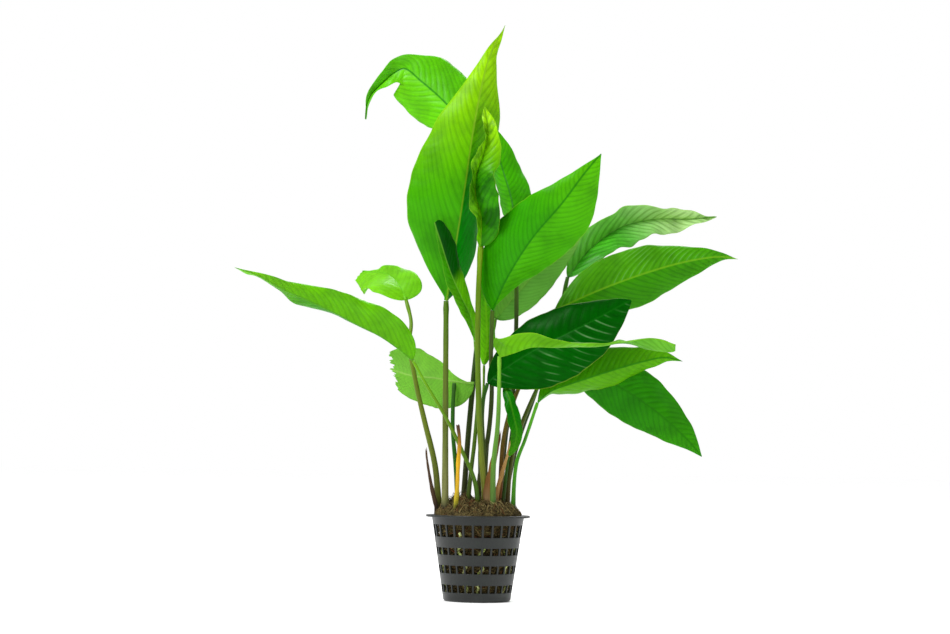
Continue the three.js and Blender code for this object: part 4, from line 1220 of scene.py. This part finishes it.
# %% Wool plug
def wool_line():
    """Radius and height along the plug's side, from the middle of its floor up to the mouth."""
    def wall(z):
        return float(pot_radius(z)) - WALL

    bottom = FLOOR + CLEARANCE
    line = [[0.6, bottom], [wall(bottom) - ROOT_SPACE - 1.2, bottom]]
    line += [[wall(z) - ROOT_SPACE, z] for z in (3.0, 20.0, 39.0)]
    line += [[wall(43.5) - 0.5, 43.5], [wall(45.5) - 0.35, 45.6]]
    line = np.array(line)
    lengths = np.r_[0, np.cumsum(np.linalg.norm(np.diff(line, axis=0), axis=1))]
    place = np.linspace(0, lengths[-1], 110)
    return np.interp(place, lengths, line[:, 0]), np.interp(place, lengths, line[:, 1])


def wool_body():
    """The turned surface of the plug, roughened all over."""
    radius, z = wool_line()
    angle = np.linspace(0, 2 * np.pi, 300, endpoint=False)[None, :]
    r, h = radius[:, None], z[:, None]
    rough = 0.8 * cloudy(r * np.cos(angle), r * np.sin(angle), h + 0 * angle, 2.6, 14)
    inner = (r + rough * (h > FLOOR + CLEARANCE + 0.5) * (h < 43)) * np.ones_like(angle)
    body = np.stack([inner * np.cos(angle), inner * np.sin(angle), h + 0 * angle], axis=-1)
    top_radius = (radius[-1] * np.linspace(0.995, 0.02, 90) ** 0.85)[:, None]
    x, y = top_radius * np.cos(angle), top_radius * np.sin(angle)
    crown = np.stack([x, y, np.maximum(mound(x, y), POT_HEIGHT - 0.2)], axis=-1)
    return closed_tube("wool_plug", np.concatenate([body, crown]))


WOOL = plain_material("brown_wool", 0.0006, gloss=0.1, Base=(64, 54, 32), Cloud=(100, 88, 54),
                      Grain=(28, 22, 12), Cloud_size=260.0, Grain_size=1400.0, Grain_share=0.75,
                      Roughness=0.92)
wool = adopt(wool_body(), "wool", WOOL, "wool_plug")
print("wool", len(wool.data.polygons), "faces,", round(signed_volume(wool)), "mm3")

# %% Loose fibres
def threads(name, lines, radius):
    """One mesh of three-sided threads from an array of threads x points x 3, with closed ends."""
    count, steps, _ = lines.shape
    along = unit(np.gradient(lines, axis=1))
    side = unit(np.cross(along, np.array([0.31, 0.47, 0.82])))
    other = np.cross(along, side)
    angle = np.array([0, 2 * np.pi / 3, 4 * np.pi / 3])
    taper = 1 - 0.6 * np.abs(np.linspace(-1, 1, steps)) ** 3
    thickness = taper[None, :, None, None] * radius[:, None, None, None]
    spokes = side[:, :, None] * np.cos(angle)[:, None] + other[:, :, None] * np.sin(angle)[:, None]
    rings = lines[:, :, None] + thickness * spokes
    start = np.arange(count)[:, None, None] * steps * 3
    i = np.arange(steps - 1)[None, :, None] * 3
    j = np.arange(3)[None, None, :]
    a, b = start + i + j, start + i + (j + 1) % 3
    quads = np.stack([a, b, b + 3, a + 3], axis=-1).reshape(-1, 4).tolist()
    first = np.arange(count)[:, None] * steps * 3
    caps = (first + [0, 2, 1]).tolist() + (first + (steps - 1) * 3 + [0, 1, 2]).tolist()
    tone = np.broadcast_to(random.random((count, 1)), (count, steps * 3))
    return mesh_from(name, rings.reshape(-1, 3), quads + caps, {"tone": tone})


print("one thread of 9 points has", 8 * 3 + 2, "faces")

# %% Where the fibres lie
def crown_threads(count):
    """Fibres that lie on the mound: straight runs with a curl, lifted a little in the middle."""
    share = np.linspace(0, 1, 9)[None, :]
    radius = CROWN_RADIUS * 1.02 * np.sqrt(random.random((count, 1)))
    angle = random.random((count, 1)) * 2 * np.pi
    heading = random.random((count, 1)) * 2 * np.pi
    length = random.uniform(3, 12, (count, 1))
    bend = random.normal(0, 1.4, (count, 1))
    turn = heading + bend * (share - 0.5)
    x = radius * np.cos(angle) + length * (share - 0.5) * np.cos(turn)
    y = radius * np.sin(angle) + length * (share - 0.5) * np.sin(turn)
    spread = np.hypot(x, y)
    inside = np.minimum(1, (CROWN_RADIUS + 1.6) / spread)
    x, y = x * inside, y * inside
    arch = random.exponential(0.7, (count, 1)) * np.sin(np.pi * share)
    arch = arch + random.uniform(-0.3, 0.5, (count, 1))
    z = np.maximum(mound(x, y), POT_HEIGHT + 0.15) + np.clip(arch, -0.3, 2.4)
    return np.stack([x, y, z], axis=-1)


def wall_threads(count):
    """Fibres on the plug's side, behind the slots."""
    share = np.linspace(0, 1, 7)[None, :]
    z = random.uniform(4, 40, (count, 1)) + random.normal(0, 3, (count, 1)) * (share - 0.5)
    angle = random.random((count, 1)) * 2 * np.pi
    angle = angle + random.uniform(2, 9, (count, 1)) / 20 * (share - 0.5)
    z = np.clip(z + np.sin(5 * share + 6 * random.random((count, 1))) * 0.7, 2.5, 42)
    loft = random.uniform(0.0, 2.15, (count, 1))
    radius = pot_radius(z) - WALL - ROOT_SPACE + loft + 0.3 * np.sin(np.pi * share)
    return np.stack([radius * np.cos(angle), radius * np.sin(angle), z], axis=-1)


print("fibres lie within", round(CROWN_RADIUS + 1.6, 1), "mm of the middle")

# %% Fibre material
TONES = [(0.0, (34, 28, 16)), (0.3, (70, 60, 34)), (0.62, (114, 100, 60)), (0.85, (154, 140, 92)),
         (0.95, (110, 48, 24))]


def thread_material():
    """Wool fibres from dark brown through tan to a few reddish ones."""
    material = bpy.data.materials.new("wool_threads")
    material.use_nodes = True
    w = Wires(material.node_tree)
    shader = material.node_tree.nodes["Principled BSDF"]
    ramp = w.node("ShaderNodeValToRGB", Fac=w.layer("tone"))
    stops = ramp.color_ramp.elements
    stops[0].position, stops[1].position = TONES[0][0], TONES[-1][0]
    for place, _ in TONES[1:-1]:
        stops.new(place)
    for stop, (_, colour) in zip(stops, TONES):
        stop.color = linear(colour)
    cloud = w.noise(w.place(), 300.0, 3.0)
    shade = w.rise(cloud, 0.4, 0.7, 0.0, 0.5)
    w.put(shader.inputs["Base Color"], w.mix(shade, ramp.outputs[0], (62, 50, 26)))
    w.put(shader.inputs["Roughness"], w.rise(cloud, 0.2, 0.8, 0.75, 0.95))
    shader.inputs["Specular IOR Level"].default_value = 0.1
    return material


print("tones of the fibres:", len(TONES))

# %% Make the fibres
lines = crown_threads(1500)
crown_fibres = threads("wool_fibres_top", lines, random.uniform(0.07, 0.17, len(lines)))
lines = wall_threads(2200)
side_fibres = threads("wool_fibres_side", lines, random.uniform(0.06, 0.15, len(lines)))
THREADS = thread_material()
for piece in (crown_fibres, side_fibres):
    adopt(piece, "wool", THREADS, "wool_plug")
    print(piece.name, len(piece.data.polygons), "faces")

# %% [markdown]
# ## Roots and rootstock
# Pale roots run down between the wool and the wall, where the slots show them. Each is a
# thin tube that wavers round its route. The creeping rootstock under the crown is buried
# in the wool, so it keeps the engineering model's own shape and only gets its skin.

# %% Roots
ROOT_DIAMETER = 1.3
ROOT_COUNT = 9
ROOT = plain_material("pale_root", 0.0002, Base=(200, 206, 140), Cloud=(146, 168, 76),
                      Grain=(96, 84, 40), Cloud_size=220.0, Grain_size=900.0, Grain_share=0.5,
                      Roughness=0.55)


def root(number):
    """A wavering tube between wool and wall, turning a little round the pot."""
    share = np.linspace(0, 1, 90)
    top = POT_HEIGHT * (0.8 - 0.08 * (number % 3))
    z = top + (FLOOR + 2 * CLEARANCE + ROOT_DIAMETER - top) * share
    sweep = 0.2 if number % 2 == 0 else -0.2
    phases = np.random.default_rng(400 + number).random(4)
    sway = wavering(phases, (share, 2.2, 0.05), (share, 6, 0.035))
    angle = 2 * np.pi * number / ROOT_COUNT + sweep * share + sway
    radius = pot_radius(z) - WALL - ROOT_SPACE / 2 + wavering(phases[2:], (share, 3, 0.25))
    path = np.stack([radius * np.cos(angle), radius * np.sin(angle), z], axis=1)
    thick = ROOT_DIAMETER / 2 * (1.15 - 0.1 * share + wavering(phases, (share, 6, 0.1)))
    return closed_tube(f"root_{number + 1}", round_tube(path, thick, thick, 16, 3, 0.03))


for number in range(ROOT_COUNT):
    adopt(root(number), "root", ROOT, f"root_{number + 1}")
print(ROOT_COUNT, "roots")

# %% Rootstock
ROOTSTOCK = plain_material("rootstock", 0.0004, Base=(84, 92, 42), Cloud=(104, 84, 44),
                           Grain=(52, 38, 22), Cloud_size=200.0, Grain_size=900.0,
                           Grain_share=0.5, Roughness=0.75)
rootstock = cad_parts["rhizome"]
rootstock.data.materials.clear()
rootstock.data.materials.append(ROOTSTOCK)
print("rootstock", len(rootstock.data.polygons), "faces")

# %% [markdown]
# ## Net pot
# The pot is moulded in one piece from dark plastic: a cone with four rows of slots, a
# floor with slots and a flat rim. It is one grid again. Stations follow the wall from the
# middle of the floor to the edge of the rim, each with a point outside and a point inside,
# and columns go round. A slot is a block of cells left out; wherever a cell meets an open
# one, a face closes the wall's thickness: a sill below, a head above and a jamb on each
# side. Cutting the slots out of a cone would be shorter to write, but it leaves slivers
# that spoil the narrow bevel, which rounds every moulded edge and catches the light.

# %% Pot profile
RIM_DIAMETER = 56.0
RIM_THICKNESS = 1.1
SLOTS_AROUND = 28
SLOT_SHARE = 0.77
# Each row of slots: the height of its sill and the height of the slot.
SLOT_ROWS = [(5, 4), (15.2, 4.2), (25.1, 3.7), (34.6, 6.4)]
FLOOR_SLOTS = (7, 13.5)
SLOT_COLUMNS, POST_COLUMNS = 4, 2


def pot_stations():
    """Points outside and inside the wall, and whether slots start at the station."""
    outside, inside, slotted = [], [], []

    def station(out, into, opens=False):
        outside.append(out)
        inside.append(into)
        slotted.append(opens)

    def within(z):
        return float(pot_radius(z)) - WALL

    station((1.0, 0.0), (1.0, FLOOR))
    station((FLOOR_SLOTS[0], 0.0), (FLOOR_SLOTS[0], FLOOR), True)
    station((FLOOR_SLOTS[1], 0.0), (FLOOR_SLOTS[1], FLOOR))
    station((float(pot_radius(0)) - 1, 0.0), (within(FLOOR) - 0.5, FLOOR))
    station((float(pot_radius(0.3)) - 0.3, 0.3), (within(FLOOR) - 0.2, FLOOR + 0.15))
    station((float(pot_radius(1)), 1.0), (within(FLOOR), FLOOR + 0.5))
    for low, height in SLOT_ROWS:
        station((float(pot_radius(low)), low), (within(low), low), True)
        station((float(pot_radius(low + height)), low + height), (within(low + height), low + height))
    under_rim = POT_HEIGHT - RIM_THICKNESS
    station((float(pot_radius(under_rim)), under_rim), (within(under_rim), under_rim))
    station((RIM_DIAMETER / 2, under_rim), (within(POT_HEIGHT), POT_HEIGHT))
    return np.array(outside, float), np.array(inside, float), np.array(slotted)


def column_angles():
    """Angles of the columns, and which columns open a slot: a slot's own, then its post's."""
    slot = np.linspace(-SLOT_SHARE / 2, SLOT_SHARE / 2, SLOT_COLUMNS + 1)[:-1]
    post = np.linspace(SLOT_SHARE / 2, 1 - SLOT_SHARE / 2, POST_COLUMNS + 1)[:-1]
    part = np.concatenate([slot, post])
    angle = (np.arange(SLOTS_AROUND)[:, None] + part[None, :]).ravel() * (2 * np.pi / SLOTS_AROUND)
    in_slot = np.tile(np.r_[np.ones(SLOT_COLUMNS, bool), np.zeros(POST_COLUMNS, bool)], SLOTS_AROUND)
    return angle, in_slot


print("stations:", len(pot_stations()[0]), "columns:", len(column_angles()[0]))

# %% Pot shell
def pot_faces(stations, columns, slotted, in_slot):
    """Faces outside, inside, over the rim and round each slot; rows outside come first."""
    rim, within = stations, stations + 1
    j = np.arange(columns)
    turn = (j + 1) % columns

    def at(row, column):
        return row * columns + column

    def quads(*corners):
        return np.stack(corners, axis=1)

    open_cell = slotted[:-1, None] & in_slot[None, :]
    k, c = np.nonzero(~open_cell)
    d, i = turn[c], within + k
    faces = [quads(at(k, c), at(k, d), at(k + 1, d), at(k + 1, c)),
             quads(at(i, c), at(i + 1, c), at(i + 1, d), at(i, d)),
             quads(at(rim - 1, j), at(rim - 1, turn), at(rim, turn), at(rim, j)),
             quads(at(rim, j), at(rim, turn), at(within + rim - 1, turn), at(within + rim - 1, j))]

    k, c = np.nonzero(open_cell)
    d, i = turn[c], within + k
    sill = quads(at(k, c), at(k, d), at(i, d), at(i, c))
    head = quads(at(k + 1, c), at(i + 1, c), at(i + 1, d), at(k + 1, d))
    first, final = ~np.roll(in_slot, 1)[c], ~np.roll(in_slot, -1)[c]
    left = quads(at(k, c), at(i, c), at(i + 1, c), at(k + 1, c))[first]
    right = quads(at(k, d), at(k + 1, d), at(i + 1, d), at(i, d))[final]
    return np.concatenate([*faces, sill, head, left, right]).tolist()


def pot_shell():
    """The closed shell of the pot: radius x cos(angle), radius x sin(angle), height."""
    outside, inside, slotted = pot_stations()
    angle, in_slot = column_angles()
    stations, columns = len(outside), len(angle)
    rim_edge = np.array([[RIM_DIAMETER / 2, POT_HEIGHT]])
    profiles = np.concatenate([outside, rim_edge, inside])
    radius, height = profiles[:, :1], profiles[:, 1:]
    grid = np.stack([radius * np.cos(angle), radius * np.sin(angle), height + 0 * angle], axis=-1)
    hub_out, hub_in = grid.shape[0] * columns, grid.shape[0] * columns + 1
    points = np.concatenate([grid.reshape(-1, 3), [[0, 0, 0], [0, 0, FLOOR]]])
    j = np.arange(columns)
    turn = (j + 1) % columns
    start = (stations + 1) * columns
    hubs = np.stack([np.full(columns, hub_out), turn, j], axis=1).tolist()
    hubs += np.stack([np.full(columns, hub_in), start + j, start + turn], axis=1).tolist()
    return mesh_from("net_pot", points, pot_faces(stations, columns, slotted, in_slot) + hubs)


print("slots in the wall:", SLOTS_AROUND * len(SLOT_ROWS))

# %% Make the pot
pot = pot_shell()
bevel = pot.modifiers.new("moulded edges", "BEVEL")
bevel.width = 0.22 * MM
bevel.segments = 2
bevel.limit_method = "ANGLE"
bevel.angle_limit = np.radians(40)
bevel.harden_normals = True
PLASTIC = plain_material("dark_plastic", 0.00006, gloss=0.4, Base=(12, 17, 17), Cloud=(20, 26, 25),
                         Grain=(46, 48, 40), Stretch=(1.0, 1.0, 1.6), Cloud_size=90.0,
                         Grain_size=2600.0, Grain_share=0.3, Roughness=0.42, Roughness_change=0.2)
adopt(pot, "net_pot", PLASTIC, "net_pot")
print("pot", len(pot.data.polygons), "faces,", round(signed_volume(pot)), "mm3")

# %% [markdown]
# ## Floor
# The plant stands on a plain white table top that runs back far enough to meet the light.
# Away from the plant it glows a little, more so with distance, so that its far edge melts
# into the white behind while the soft shadow at the foot of the pot stays.

# %% Table top
SIDE, NEAR, FAR = 6.0, -3.0, 9.0
table_mesh = bpy.data.meshes.new("floor")
corners = [(-SIDE, NEAR, 0), (SIDE, NEAR, 0), (SIDE, FAR, 0), (-SIDE, FAR, 0)]
table_mesh.from_pydata(corners, [], [(0, 1, 2, 3)])
floor = bpy.data.objects.new("floor", table_mesh)
bpy.context.scene.collection.objects.link(floor)
TABLE = bpy.data.materials.new("white_table")
TABLE.use_nodes = True
table_shader = TABLE.node_tree.nodes["Principled BSDF"]
table_shader.inputs["Base Color"].default_value = (0.93, 0.93, 0.93, 1.0)
table_shader.inputs["Roughness"].default_value = 0.6
table_shader.inputs["Emission Color"].default_value = (1.0, 1.0, 1.0, 1.0)
table_wires = Wires(TABLE.node_tree)
from_plant = table_wires.node("ShaderNodeVectorMath", {"operation": "LENGTH"}, i0=table_wires.place())
glow = table_wires.rise(from_plant.outputs["Value"], 0.1, 1.6, 0.12, 0.62)
table_wires.put(table_shader.inputs["Emission Strength"], glow)
table_mesh.materials.append(TABLE)
print("table", 2 * SIDE, "by", FAR - NEAR, "m")

# %% [markdown]
